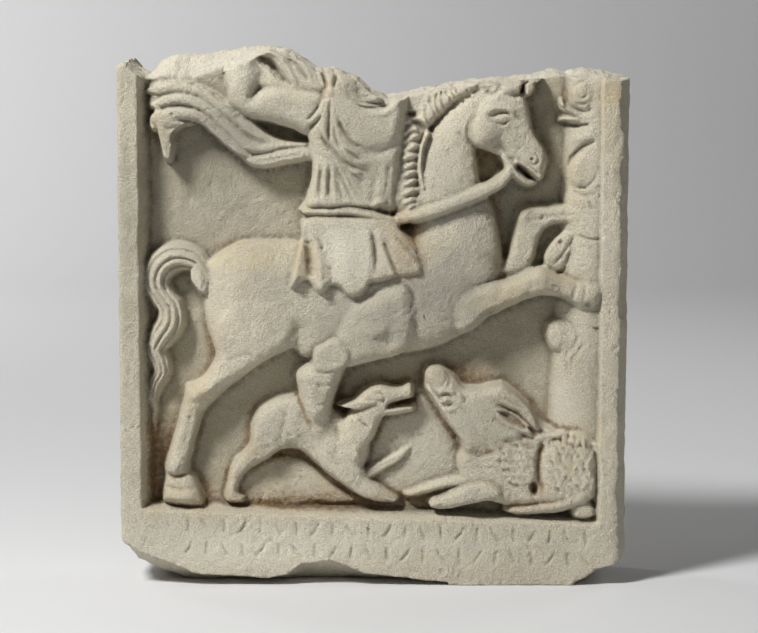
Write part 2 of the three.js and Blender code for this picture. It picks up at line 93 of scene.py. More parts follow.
def blur(values, reach):
    # two box means each way
    n = max(int(round(reach / step)), 1)
    for axis in (0, 1, 0, 1):
        wide = [(n + 1, n) if a == axis else (0, 0) for a in (0, 1)]
        total = np.cumsum(np.pad(values, wide, mode="edge"), axis=axis)
        count = values.shape[axis]
        high = np.take(total, np.arange(2 * n + 1, 2 * n + 1 + count), axis=axis)
        low = np.take(total, np.arange(0, count), axis=axis)
        values = (high - low) / (2 * n + 1)
    return values


def windowOf(xs, zs, margin):
    # the part of the map round some places
    i0 = max(int((np.min(xs) - margin - lineX[0]) / step), 0)
    i1 = min(int((np.max(xs) + margin - lineX[0]) / step) + 2, len(lineX))
    j0 = max(int((np.min(zs) - margin - lineZ[0]) / step), 0)
    j1 = min(int((np.max(zs) + margin - lineZ[0]) / step) + 2, len(lineZ))
    return slice(j0, max(j1, j0 + 1)), slice(i0, max(i1, i0 + 1))


def smoothLine(points, closed=False):
    # a curve through the points, all their columns alike
    steps = 5 if closed else 6
    p = np.array(points, dtype=float)
    if closed:
        p = np.vstack([p[-1], p, p[0], p[1]])
    else:
        p = np.vstack([2 * p[0] - p[1], p, 2 * p[-1] - p[-2]])
    t = np.linspace(0, 1, steps, endpoint=False)[:, None]
    parts = []
    for a, b, c, d in zip(p, p[1:], p[2:], p[3:]):
        parts.append(0.5 * (2 * b + (c - a) * t + (2 * a - 5 * b + 4 * c - d) * t ** 2
                            + (3 * b - a - 3 * c + d) * t ** 3))
    line = np.vstack(parts)
    return line if closed else np.vstack([line, p[-2]])


def beside(path, reach):
    # for each place near the path: how far off it is, on which side, how far along, and the path's own values
    window = windowOf(path[:, 0], path[:, 1], reach)
    shape = mapX[window].shape
    off = np.full(shape, 1e6)
    side = np.ones(shape)
    along = np.zeros(shape)
    values = np.zeros((path.shape[1] - 2,) + shape)
    j0, i0 = window[0].start, window[1].start
    travelled = 0
    for a, b in zip(path, path[1:]):
        near = windowOf([a[0], b[0]], [a[1], b[1]], reach)
        part = (slice(max(near[0].start - j0, 0), near[0].stop - j0),
                slice(max(near[1].start - i0, 0), near[1].stop - i0))
        x, z = mapX[window][part], mapZ[window][part]
        run = b[:2] - a[:2]
        length = max(math.hypot(*run), 1e-6)
        t = np.clip(((x - a[0]) * run[0] + (z - a[1]) * run[1]) / length ** 2, 0, 1)
        dx, dz = x - a[0] - t * run[0], z - a[1] - t * run[1]
        d = np.hypot(dx, dz)
        closer = d < off[part]
        off[part] = np.where(closer, d, off[part])
        side[part] = np.where(closer, np.sign(run[0] * dz - run[1] * dx), side[part])
        along[part] = np.where(closer, travelled + t * length, along[part])
        for k in range(len(values)):
            values[k][part] = np.where(closer, a[2 + k] + t * (b[2 + k] - a[2 + k]), values[k][part])
        travelled += length
    return window, off, side, along, travelled, values


def inside(edge, window):
    x, z = mapX[window], mapZ[window]
    within = np.zeros(x.shape, dtype=bool)
    for a, b in zip(edge, np.roll(edge, -1, axis=0)):
        if a[1] == b[1]:
            continue
        crosses = (a[1] > z) != (b[1] > z)
        within ^= crosses & (x < a[0] + (z - a[1]) * (b[0] - a[0]) / (b[1] - a[1]))
    return within


def area(outline, rim):
    # the window of a closed outline, with each place's distance from it and whether it is inside
    edge = smoothLine(outline, closed=True)
    window, off, *_ = beside(np.vstack([edge, edge[0]]), rim + 2)
    return window, off, inside(edge, window)


def join(window, form, blend):
    # the higher of the two, with a fillet as wide as blend between them
    ground = height[window]
    fillet = np.maximum(blend - np.abs(ground - form), 0) ** 2 / (4 * blend)
    height[window] = np.maximum(ground, form) + np.where(form > absent, fillet, 0)


def levels(window, spots):
    # heights that pass near the given spots [x, z, height]; evening keeps a spot from making a peak
    x, z = mapX[window], mapZ[window]
    evening = 60
    total = weightSum = 0
    for sx, sz, value in spots:
        weight = 1 / ((x - sx) ** 2 + (z - sz) ** 2 + evening) ** 1.5
        total = total + weight * value
        weightSum = weightSum + weight
    return total / weightSum


def mass(outline, spots, rim, base, blend):
    # a swelling form inside a closed outline, from base at its edge to the spots' heights
    window, off, within = area(outline, rim)
    share = 1 - np.clip(np.where(within, off, 0) / rim, 0, 1)
    form = base + (levels(window, spots) - base) * np.sqrt(1 - share ** 2)
    join(window, np.where(within, form, absent), blend)


def sink(outline, level, rim):
    # cuts down to a level inside a closed outline
    window, off, within = area(outline, rim)
    old = height[window]
    share = smoothstep(np.where(within, off, 0), 0, rim)
    height[window] = old + (np.minimum(level, old) - old) * share


def ridge(points, lift, blend, flat=2, strands=0, cut=0):
    # a rounded band along a line of [x, z, half width, height], parted into strands
    path = smoothLine(points)
    window, off, side, _, _, (half, top) = beside(path, path[:, 2].max() + 2)
    half = np.maximum(half, 0.6)
    across = np.clip(off / half, 0, 1)
    form = lift + (top - lift) * (1 - across ** flat) ** (1 / flat)
    if strands:
        phase = (side * across + 1) / 2 * strands
        form = form - cut * (1 - np.abs(np.sin(math.pi * phase))) ** 1.5 * (across < 0.93)
    join(window, np.where(off < half, form, absent), blend)


def fadeEnds(along, length, start, fadeIn, fadeOut):
    return smoothstep(along, start, fadeIn * length) * smoothstep(length - along, start, fadeOut * length)


def crease(points, width, depth, taper=True):
    # a groove of the chisel along points [x, z]
    window, off, _, along, length, _ = beside(smoothLine(points), width * 3)
    fade = fadeEnds(along, length, -0.05 * length, 0.25, 0.25) if taper else 1
    height[window] -= depth * fade * np.exp(-(off / width) ** 2)


def fold(points, width, rise, lean=0, fadeIn=0.2, fadeOut=0.2):
    # a raised fold on whatever stands over the ground; lean makes one side steeper
    window, off, side, along, length, _ = beside(smoothLine(points), width * 3)
    wide = width * (1 + lean * side)
    fade = fadeEnds(along, length, -0.01, fadeIn, fadeOut)
    height[window] += rise * fade * np.exp(-(off / wide) ** 2) * smoothstep(height[window], 4, 10)


def swell(x, z, rx, rz, rise, turn=0):
    # a soft bulge on whatever stands over the ground
    window = windowOf([x], [z], 2.6 * max(rx, rz))
    c, s = math.cos(math.radians(turn)), math.sin(math.radians(turn))
    dx, dz = mapX[window] - x, mapZ[window] - z
    u, v = (c * dx + s * dz) / rx, (-s * dx + c * dz) / rz
    height[window] += rise * np.exp(-(u * u + v * v)) * smoothstep(height[window], 5, 12)


def hole(x, z, radius, depth):
    # a small pit with a soft rim
    rim = 1.2
    window = windowOf([x], [z], radius + 3)
    off = np.hypot(mapX[window] - x, mapZ[window] - z)
    height[window] -= depth * smoothstep(radius + rim - off, 0, rim * 1.6)


# The horse
horse = {"trunkRim": 38, "neckRim": 26, "maneFoot": 390, "maneLocks": 11, "crestLocks": 10, "tailStrands": 4}


def carveTail():
    # behind the haunch
    ridge([(105, 320, 9, 21), (92, 337, 14, 24), (73, 341, 17, 26), (58, 332, 17, 26), (53, 316, 15, 25),
        (59, 302, 14, 24), (67, 290, 15, 24), (67, 275, 16, 25), (58, 261, 15, 24), (52, 249, 12, 22),
        (56, 237, 11, 20), (58, 225, 10, 19), (51, 212, 9, 16), (47, 196, 7, 12), (46, 160, 4, 4)], lift=4,
        blend=2, strands=horse["tailStrands"], cut=5)
    ridge([(52, 270, 3, 20), (48, 255, 4, 21), (54, 242, 4, 20), (58, 232, 3, 17)], lift=8, blend=1.5)
    ridge([(47, 215, 3, 12), (44, 202, 4, 13), (50, 190, 4, 12), (48, 175, 3, 7)], lift=4, blend=1.5)
    mass([(88, 330), (93, 337), (102, 333), (107, 320), (106, 307), (99, 303), (91, 310), (86, 320)],
        [(96, 320, 25)], rim=7, base=12, blend=4)
    crease([(100, 332), (103, 320), (100, 308)], 1.5, 2)


def carveFarForeleg():
    # low behind the chest
    mass([(398, 325), (408, 342), (412, 357), (415, 375), (419, 388), (427, 394), (442, 394), (460, 395),
        (474, 395), (485, 391), (485, 379), (478, 374), (466, 374), (455, 372), (448, 368), (443, 360),
        (440, 350), (438, 340), (434, 331), (420, 322)],
        [(415, 340, 20), (422, 380, 21), (450, 384, 19), (475, 384, 20)], rim=9, base=7, blend=3)


def carveTrunk():
    # with the neck
    mass([(105, 338), (130, 354), (150, 359), (190, 359), (240, 364), (300, 370), (340, 385), (380, 395),
        (397, 385), (402, 365), (405, 345), (407, 328), (402, 310), (392, 282), (372, 267), (355, 258),
        (340, 250), (310, 244), (285, 240), (250, 229), (225, 232), (200, 240), (190, 248), (165, 238),
        (135, 232), (115, 245), (105, 265), (101, 290), (101, 310), (103, 328)],
        [(140, 305, 33), (112, 300, 27), (170, 335, 31), (150, 260, 32), (215, 300, 30), (260, 285, 33),
        (250, 245, 27), (320, 280, 33), (350, 320, 37), (385, 335, 34), (395, 300, 29), (200, 260, 29)],
        rim=horse["trunkRim"], base=11, blend=3)
    mass([(312, 375), (316, 420), (321, 442), (328, 462), (338, 478), (350, 492), (362, 502), (374, 510),
        (384, 514), (400, 513), (400, 490), (392, 465), (379, 450), (380, 435), (383, 417), (391, 402),
        (397, 388), (401, 365), (399, 340), (360, 325), (325, 340)],
        [(335, 440, 30), (352, 410, 34), (368, 470, 31), (385, 503, 28), (360, 355, 36), (390, 370, 31),
        (350, 475, 30), (330, 410, 31)], rim=horse["neckRim"], base=13, blend=9)


def carveHindLeg():
    # from the haunch to the hoof
    mass([(112, 244), (107, 232), (100, 222), (90, 216), (82, 213), (80, 205), (78, 195), (75, 185),
        (72, 172), (68, 160), (64, 148), (60, 137), (58, 128), (59, 120), (57, 110), (56, 100), (58, 94),
        (75, 91), (99, 90), (101, 98), (97, 108), (91, 120), (86, 126), (86, 134), (89, 145), (91, 155),
        (95, 168), (99, 180), (105, 189), (114, 198), (126, 209), (140, 219), (155, 230), (172, 240),
        (192, 250), (200, 272), (180, 300), (140, 305), (115, 285), (108, 260)],
        [(150, 265, 33), (125, 232, 31), (98, 205, 30), (88, 180, 26), (80, 150, 25), (72, 130, 28),
        (78, 102, 31), (73, 118, 26), (180, 270, 31)], rim=15, base=12, blend=8)
    # hock
    swell(93, 204, 9, 12, 3, 40)
    crease([(84, 196), (96, 197), (104, 203)], 3, 1.6)
    crease([(89, 190), (84, 165), (76, 142)], 3, 1.8)
    crease([(58, 124), (72, 121), (88, 124)], 2.2, 3.5)
    # fetlock
    swell(72, 131, 10, 7, 3)
    # hoof
    swell(78, 99, 15, 8, 3)
    crease([(57, 111), (75, 109), (96, 110)], 1.8, 2.2)
    # where the haunch meets the flank
    crease([(183, 228), (185, 250), (194, 268), (202, 282)], 5, 2.4)
    crease([(120, 236), (142, 243), (160, 240)], 4, 1.2)
    fold([(86, 208), (100, 208), (116, 218), (132, 228)], 3, 1.6)


def carveMane():
    # short locks down the neck, longer strands over the crest
    mass([(292, 472), (300, 482), (310, 484), (320, 474), (314, 440), (312, 386), (294, 384)],
        [(305, 435, 25), (304, 400, 25)], rim=4, base=20, blend=3)
    mass([(303, 502), (314, 508), (332, 518), (370, 528), (405, 530), (405, 512), (380, 508), (355, 494),
        (338, 480), (324, 484), (312, 484), (305, 488)],
        [(320, 496, 22), (350, 508, 23), (385, 518, 24)], rim=7, base=16, blend=5)
    ridge([(311, 392, 9, 25), (311, 430, 9, 26), (313, 455, 10, 27), (320, 472, 11, 27), (332, 487, 12, 27),
        (345, 498, 12, 27), (360, 506, 10, 26), (374, 513, 8, 25)], lift=8, blend=3)
    random = np.random.default_rng(8)
    z = horse["maneFoot"]
    for _ in range(horse["maneLocks"]):
        a, b, c = random.uniform(-1.5, 1.5, 3)
        lock = [(321, z + 2 + a), (315, z + 3 + b), (308, z + a), (302.5 + c, z - 4)]
        fold(lock, random.uniform(2.6, 4), random.uniform(3.5, 6.5), lean=0.2)
        crease([(321, z - 2 + a), (313, z - 1.5 + b), (304, z - 6)], 1.5, random.uniform(1.5, 3.5))
        z += random.uniform(7.4, 10)
    ridge([(324, 410, 2.5, 30), (320, 430, 3, 31), (322, 450, 3, 32), (328, 465, 3, 31)], lift=20, blend=1)
    crease([(328, 404), (320, 428), (321, 448), (331, 467), (344, 484), (360, 498), (376, 508)], 1.4, 1.8)
    sink([(308, 481), (318, 479), (328, 473), (326, 466), (317, 470)], 21, rim=3)
    for i in range(horse["crestLocks"]):
        t = i / (horse["crestLocks"] - 1)
        x, z = 329 + 48 * t, 471 + 39 * t ** 0.75
        wave = 2 * math.sin(i * 1.9)
        lock = [(x + 1, z), (x - 4 + wave, z + 8), (x - 6, z + 16), (x - 5 - wave, z + 25)]
        fold(lock, 3, 2.4, lean=0.4)
        crease([(a + 2.6, b - 1) for a, b in lock], 1.2, 2.6)


def carveHorseHead():
    mass([(397, 513), (408, 512), (421, 507), (428, 498), (432, 484), (435, 470), (441, 459), (447, 450),
        (450, 440), (449, 430), (445, 422), (440, 419), (430, 425), (420, 432), (412, 437), (405, 439),
        (397, 443), (387, 447), (377, 451), (371, 461), (370, 473), (374, 486), (380, 497), (388, 506)],
        [(405, 495, 36), (387, 466, 38), (422, 482, 35), (412, 458, 35), (436, 448, 34), (440, 432, 34),
        (415, 507, 32), (400, 450, 31)], rim=12, base=20, blend=2)
    jowl = [(387 + 19 * math.cos(a), 467 + 20 * math.sin(a)) for a in np.radians(np.arange(120, 300, 20))]
    crease(jowl, 2.2, 2.6)
    swell(388, 467, 13, 14, 3)
    crease([(358, 469), (364, 461), (372, 454)], 3, 2.4)
    crease([(378, 480), (374, 487), (380, 496)], 3, 1.2)
    swell(410, 463, 8, 12, 2, 25)
    crease([(394, 457), (403, 452), (412, 445)], 4, 2.4)
    ridge([(405, 440, 6, 34), (412, 432, 6.5, 37), (420, 422, 6, 36), (429, 416, 5, 34), (437, 417, 3.5, 31)],
        lift=16, blend=1.2)
    # upper lip
    ridge([(417, 437, 3, 35), (428, 429, 3.5, 37), (438, 422, 3.5, 36), (444, 422, 2, 32)], lift=26, blend=1)
    # mouth
    crease([(419, 432), (424, 429), (430, 424), (437, 418)], 2.3, 17, taper=False)
    crease([(414, 439), (424, 435), (434, 428), (442, 424)], 1.2, 1.6)
    # nostril
    swell(434, 441, 8, 7, 3)
    turns, radii = np.radians(np.arange(200, 560, 40)), np.linspace(7, 2.5, 9)
    crease([(434 + r * math.cos(a), 441 + r * math.sin(a)) for a, r in zip(turns, radii)], 1.2, 2.6)
    hole(432.5, 440, 1.6, 4)
    crease([(446, 448), (448, 440), (446, 432)], 1.6, 1.4)


def carveEyeAndEars():
    # the eye under its brow, the ears broken short
    fold([(384, 485), (392, 489), (402, 490), (411, 487), (416, 481)], 3.2, 4, lean=0.3)
    crease([(386, 484), (392, 482), (398, 485), (406, 486), (412, 483)], 1.6, 3.6)
    swell(403, 480, 5, 3.4, 3.6)
    crease([(389, 480), (397, 475.5), (404, 474.5), (410, 479)], 1.2, 2.6)
    fold([(389, 476), (397, 472), (405, 471.5), (411, 476)], 1.8, 1.8)
    swell(412, 486, 6, 8, 2)
    hole(404, 479, 0.9, 1)
    # ears, broken short, and the cleft behind them
    mass([(400, 504), (401, 514), (406, 524), (416, 526), (422, 520), (422, 508), (412, 502)],
        [(411, 512, 37)], rim=6, base=26, blend=1.5)
    mass([(423, 502), (424, 512), (427, 522), (434, 522), (437, 512), (432, 502)],
        [(429, 511, 33)], rim=5, base=20, blend=1.5)
    crease([(423, 502), (423, 512), (424, 522)], 1.6, 6)
    crease([(386, 508), (392, 504), (398, 508), (403, 514)], 2.2, 6)
    # the ground stands up to the right of the brow
    fold([(440, 508), (446, 492), (452, 478), (460, 462)], 8, 3)


def carveNearForeleg():
    # raised
    mass([(372, 312), (385, 317), (400, 320), (410, 322), (420, 326), (430, 331), (440, 334), (447, 333),
        (455, 328), (465, 324), (478, 320), (492, 318.5), (502, 316), (506, 308), (504, 299), (500, 294),
        (492, 291), (483, 290), (476, 294), (465, 300), (455, 301), (445, 302), (435, 300), (425, 297),
        (412, 291), (400, 285), (390, 280), (378, 270), (364, 264), (355, 275), (356, 300)],
        [(370, 290, 37), (405, 305, 38), (440, 318, 41), (470, 310, 36), (482, 305, 38), (497, 305, 35)],
        rim=12, base=20, blend=7)
    # knee
    swell(442, 320, 10, 9, 2)
    crease([(430, 302), (433, 314), (429, 328)], 3, 1.2)
    crease([(377, 283), (405, 294), (430, 303)], 2.4, 2.4)
    crease([(479, 319), (476, 308), (473, 298)], 2, 2.4)
    crease([(488, 317), (486, 304), (483, 291)], 1.5, 1.6)
    swell(496, 305, 8, 11, 1.6)
    crease([(444, 322), (456, 314), (468, 311)], 2.2, 1.4)
    sink([(458, 301), (466, 299), (476, 294), (486, 288), (486, 282), (476, 285), (466, 290), (459, 295)], 2,
        rim=3)
    hole(489.5, 295, 2.4, 7)


def carveFlank():
    crease([(437, 378), (450, 382), (478, 384)], 2, 1.6)
    swell(424, 384, 8, 7, 3)
    crease([(399, 345), (402, 325), (399, 305)], 5, 3)
    crease([(352, 262), (372, 272), (388, 286), (402, 296)], 3, 2.2)
    fold([(368, 336), (380, 330), (392, 318)], 8, 1.4)
    crease([(357, 283), (362, 272), (360, 264)], 4, 1.6)
    crease([(198, 275), (200, 265), (198, 255)], 6, 1.6)
    crease([(318, 365), (335, 352), (355, 345), (372, 348)], 6, 1)


def carveRein():
    # after the dark pocket between rein, jaw and neck
    sink([(381, 448), (390, 446), (398, 443), (404, 437), (403, 429), (396, 421), (388, 416), (382, 418),
        (379, 430), (378, 441)], 7, rim=3.5)
    ridge([(411, 431, 6, 38), (406, 422, 7, 41), (395, 413, 8, 42.5), (378, 406, 8.5, 43),
        (357, 397, 8.5, 43), (335, 389, 8, 43), (315, 383, 7.5, 42), (300, 380, 7, 40)], lift=28, blend=1)
    crease([(388, 400), (370, 393), (350, 386), (332, 380)], 1.6, 2)


# The rider, whose head is lost


def carveBlownCloak():
    # the bed first, then its three bands from the upper one down
    ridge([(232, 448, 10, 20), (200, 447, 11, 20), (168, 446, 12, 20), (146, 454, 14, 20), (126, 470, 15, 20),
        (106, 486, 15, 20), (84, 498, 13, 20), (64, 499, 12, 20), (54, 496, 8, 17)], lift=6, blend=2, flat=3)
    ridge([(50, 508, 6, 20), (60, 509, 8, 25), (76, 511, 8, 28), (92, 508, 8, 28), (106, 502, 8, 27),
        (122, 491, 9, 27), (140, 476, 10, 26), (160, 461, 9, 24), (180, 455, 6, 23), (204, 454, 4, 22)],
        lift=10, blend=1.5, flat=2.3)
    ridge([(55, 492, 5, 24), (66, 497, 7, 29), (82, 499, 7.5, 31), (98, 494, 7.5, 31), (114, 483, 8, 31),
        (130, 468, 8.5, 31), (146, 454, 8, 30), (162, 450, 6.5, 28), (182, 453, 4.5, 26), (204, 454, 3, 24)],
        lift=14, blend=1, flat=2.3)
    ridge([(57, 479, 6, 29), (68, 484, 8, 33), (84, 485, 8, 33), (100, 481, 7.5, 32), (114, 470, 7.5, 31),
        (128, 457, 7.5, 31), (140, 447, 6.5, 30), (150, 442, 4, 27)], lift=14, blend=1, flat=2.3)
    ridge([(143, 440, 3, 24), (152, 438, 7, 28), (166, 438, 9, 30), (184, 442, 9, 29), (206, 445, 9, 27),
        (232, 447, 9, 24)], lift=10, blend=1, flat=2.4)
    mass([(48, 479), (53, 488), (66, 489), (80, 480), (92, 474), (82, 467), (75, 460), (73, 448), (69, 436),
        (61, 439), (58, 452), (55, 463), (49, 469)],
        [(60, 478, 32), (67, 460, 29), (66, 444, 25)], rim=5, base=16, blend=2)
    crease([(54, 482), (60, 473), (70, 470), (82, 474)], 1.6, 2)
    crease([(152, 436), (170, 439), (190, 443), (204, 445)], 1.5, 1.8)
    crease([(66, 488), (86, 491), (104, 485), (122, 470), (140, 454)], 1.2, 1.6)
    crease([(106, 476), (124, 462), (136, 451)], 1.6, 1.8)
    fold([(114, 496), (132, 481), (152, 465), (172, 458)], 3, 2)
    sink([(70, 458), (73, 467), (84, 474), (96, 473), (106, 466), (96, 462), (84, 460), (76, 454)], 1, rim=4)
    crease([(49, 478), (54, 471), (57, 462)], 2.2, 8)
    hole(72, 484, 1.4, 3)


def carveShoulderCloak():
    # above the arm
    mass([(122, 540), (128, 552), (156, 552), (180, 552), (200, 548), (214, 538), (224, 522), (226, 504),
        (210, 504), (180, 506), (150, 508), (126, 508)],
        [(162, 525, 26), (185, 538, 34), (200, 522, 35), (212, 528, 37), (145, 540, 30), (178, 516, 29)],
        rim=8, base=14, blend=2)
    sink([(154, 542), (162, 543), (170, 540), (177, 532), (184, 522), (190, 514), (180, 516), (170, 526),
        (162, 532)], 17, rim=4)
    ridge([(158, 546, 4, 30), (170, 546, 5, 36), (180, 540, 5, 38), (188, 530, 5, 38), (195, 518, 4.5, 37),
        (199, 510, 3, 34)], lift=20, blend=1)
    ridge([(184, 548, 4, 32), (196, 543, 4, 37), (204, 534, 4, 38.5), (210, 523, 4, 38), (215, 512, 3, 36)],
        lift=24, blend=1)
    ridge([(202, 546, 3, 32), (212, 538, 4, 36), (219, 526, 4, 38), (224, 512, 3, 38)], lift=24, blend=1)
    crease([(186, 540), (196, 534), (203, 525), (209, 516)], 1.6, 5)
    crease([(168, 538), (178, 527), (190, 514)], 1.6, 5, taper=False)
    # pocket of the upper roll beside the forearm
    sink([(100, 515), (112, 514), (123, 508), (125, 502), (115, 505), (106, 510)], 6, rim=3)
    fold([(90, 516), (104, 518), (116, 516), (125, 520)], 3.5, 5)


def carveArm():
    mass([(124, 550), (124, 534), (126, 518), (125, 505), (129, 493), (140, 484), (154, 480), (162, 488),
        (158, 502), (161, 514), (163, 526), (159, 540), (158, 550)],
        [(140, 540, 37), (142, 515, 38), (140, 495, 36), (154, 525, 34)], rim=15, base=13, blend=3)
    mass([(136, 494), (142, 483), (158, 476), (176, 472), (192, 468), (206, 462), (218, 468), (226, 482),
        (226, 504), (212, 511), (196, 513), (176, 514), (162, 511), (150, 505)],
        [(162, 496, 40), (185, 494, 41), (208, 488, 42), (145, 490, 37)], rim=17, base=17, blend=5)
    crease([(162, 514), (156, 504), (150, 496)], 4, 2.6)
    swell(172, 497, 14, 8, 1.5)


def carveChest():
    mass([(200, 385), (204, 400), (209, 420), (210, 440), (208, 454), (204, 466), (208, 482), (218, 498),
        (222, 516), (222, 532), (230, 536), (239, 532), (245, 522), (256, 508), (272, 500), (290, 502),
        (300, 505), (308, 500), (307, 480), (304, 455), (300, 430), (296, 405), (293, 386), (250, 380)],
        [(272, 470, 42), (245, 460, 41), (225, 440, 40), (215, 405, 38), (298, 482, 41), (240, 410, 39),
        (270, 418, 35), (288, 410, 34), (230, 490, 43), (296, 450, 38), (250, 485, 43), (262, 440, 39)],
        rim=17, base=20, blend=2)
    swell(270, 470, 17, 13, 3.5)
    swell(299, 485, 9, 12, 2)
    crease([(256, 451), (266, 448), (280, 447), (294, 453), (303, 462)], 4, 2.6)
    swell(276, 424, 16, 18, -2.5)


def carveTunicFolds():
    # strap, brooch and folds from the shoulder, and the hem of the sleeve
    ridge([(229, 534, 8, 41), (230, 522, 6, 43), (231, 512, 4, 45), (231, 505, 4.5, 46)], lift=32, blend=1.2)
    swell(231, 507, 5, 4.5, 3)
    crease([(222, 528), (226, 516), (229, 508)], 1.5, 3)
    crease([(239, 528), (236, 518), (234, 508)], 1.5, 3)
    for line, width, depth in (
            ([(231, 501), (230, 485), (229, 468), (230, 456)], 1.3, 4.5),
            ([(235, 476), (236, 462), (241, 450)], 1.3, 3.2),
            ([(237, 482), (244, 468), (253, 456), (264, 451)], 1.8, 4.5),
            ([(219, 472), (225, 458), (235, 447), (245, 437), (256, 431), (268, 429)], 1.9, 5),
            ([(245, 452), (254, 443), (264, 438)], 1.3, 2.6),
            ([(235, 434), (242, 422), (248, 410), (253, 399)], 1.5, 3),
            ([(246, 433), (254, 424), (264, 416)], 1.5, 2.2),
            ([(241, 436), (250, 418), (260, 402)], 1.3, 1.6), ([(215, 434), (211, 416), (208, 401)], 1.5, 3),
            ([(222, 436), (220, 416), (219, 400)], 1.5, 3.2),
            ([(230, 432), (229, 416), (229, 402)], 1.3, 2.6), ([(238, 418), (241, 408), (244, 397)], 1.2, 2),
            ([(252, 482), (249, 468), (256, 458)], 2.4, 1.6),
            ([(289, 440), (288, 420), (286, 400)], 2.2, 1.6),
            ([(276, 425), (274, 410), (270, 396)], 2.2, 1.4)):
        crease(line, width, depth)
    for line, width, rise in (
            ([(226, 500), (224, 484), (223, 468), (230, 454)], 2.2, 3.2),
            ([(234, 498), (234, 480), (240, 462), (250, 450), (262, 444)], 2.4, 2.6),
            ([(240, 454), (250, 441), (266, 434)], 2.2, 2.4),
            ([(226, 450), (238, 438), (250, 430), (266, 425)], 3, 2),
            ([(211, 440), (208, 418), (205, 398)], 2.4, 2.6),
            ([(218, 440), (215, 416), (213, 397)], 2.4, 2.6),
            ([(226, 442), (225, 418), (224, 397)], 2.4, 2.8),
            ([(233, 434), (234, 416), (235, 400)], 2.2, 2.2)):
        fold(line, width, rise)
    ridge([(224, 496, 3, 43), (220, 486, 4.5, 45), (213, 479, 5, 44), (206, 473, 3.5, 39)], lift=28, blend=1)
    crease([(220, 494), (214, 485), (206, 478)], 1.3, 3)
    crease([(222, 484), (216, 476), (208, 470)], 1.2, 3.5)


def carveCollar():
    # round the broken neck
    mass([(238, 526), (250, 523), (262, 517), (274, 513), (284, 510), (286, 502), (278, 496), (265, 495),
        (252, 499), (243, 506), (238, 516)],
        [(244, 516, 42), (262, 507, 35), (280, 505, 41), (252, 508, 38)], rim=5, base=33, blend=1)
    swell(264, 505, 10, 6, -3.5)
    swell(280, 504, 5, 6, 4)
    sink([(252, 498), (262, 494), (276, 494), (286, 500), (293, 498), (289, 491), (276, 488), (260, 490)], 33,
        rim=3.5)
    ridge([(249, 496, 2.5, 40), (256, 488, 3, 43), (268, 483.5, 3.5, 45), (282, 484, 3.5, 45),
        (292, 489, 3.5, 44), (299, 497, 4, 42)], lift=34, blend=1.2)


def carveBelt():
    # the tunic bags over it
    for x, z, rx, rise in (
            (208, 397, 4.5, 3.6), (217, 398, 5, 4), (227, 397, 5, 4.4), (236, 400, 4.5, 4.2),
            (245, 396, 6, 2.4), (258, 393, 8, 2)):
        swell(x, z, rx, 5.5, rise)
    ridge([(204, 388, 4, 37), (225, 388, 4.5, 40), (250, 388, 4.5, 41), (275, 384, 4.5, 41),
        (294, 380, 4.5, 39)], lift=30, blend=0.8)
    crease([(204, 393), (212, 392), (222, 393), (232, 392), (245, 394), (256, 393), (272, 390), (286, 386)],
        1.4, 4, taper=False)
    crease([(276, 394), (282, 389), (290, 385)], 1.6, 3)
    ridge([(274, 395, 3, 40), (279, 398, 4.5, 43), (284, 397, 3, 40)], lift=34, blend=1)
    crease([(203, 383), (225, 383), (250, 383), (272, 379), (290, 375)], 1.4, 3, taper=False)


def carveSkirt():
    mass([(204, 382), (200, 362), (196, 340), (190, 320), (189, 313), (194, 312), (200, 318), (208, 319),
        (214, 311), (220, 306), (226, 310), (232, 315), (240, 312), (246, 306), (253, 303), (261, 305),
        (267, 311), (271, 317), (278, 318), (288, 320), (298, 323), (308, 323), (316, 324), (324, 328),
        (320, 344), (312, 360), (302, 372), (292, 382), (250, 384)],
        [(200, 330, 40), (209, 335, 36), (222, 340, 41), (245, 345, 43), (255, 315, 44), (265, 360, 42),
        (278, 350, 40), (290, 338, 40), (305, 345, 40), (312, 330, 39), (230, 370, 41), (295, 365, 41)],
        rim=7, base=30, blend=1)
    for line, width, rise in (
            ([(203, 378), (199, 356), (196, 336), (193, 316)], 3.6, 3.6),
            ([(211, 374), (217, 356), (220, 336), (221, 310)], 3.6, 3.2),
            ([(240, 378), (244, 350), (247, 325), (253, 306)], 8, 2.4),
            ([(266, 378), (269, 358), (269, 338), (264, 312)], 3.6, 2.2),
            ([(278, 374), (282, 356), (288, 338), (294, 324)], 3.4, 2.6),
            ([(288, 376), (298, 358), (310, 342), (320, 330)], 4, 2.4)):
        fold(line, width, rise, fadeOut=0.02)
    for line, width, depth in (
            ([(206, 360), (208, 348), (209, 334), (209, 320)], 3.6, 4.5),
            ([(213, 370), (219, 360), (224, 350)], 1.5, 2.4),
            ([(230, 336), (231, 324), (232, 314)], 3.2, 2.4),
            ([(271, 372), (274, 358), (276, 342), (276, 326)], 1.8, 3.4),
            ([(283, 360), (288, 348), (294, 334), (300, 323)], 1.8, 4),
            ([(290, 372), (298, 362), (308, 352), (318, 346)], 1.8, 2.4),
            ([(203, 359), (210, 358), (218, 360)], 1.4, 2)):
        crease(line, width, depth)
    hole(222, 352, 1.2, 2.5)


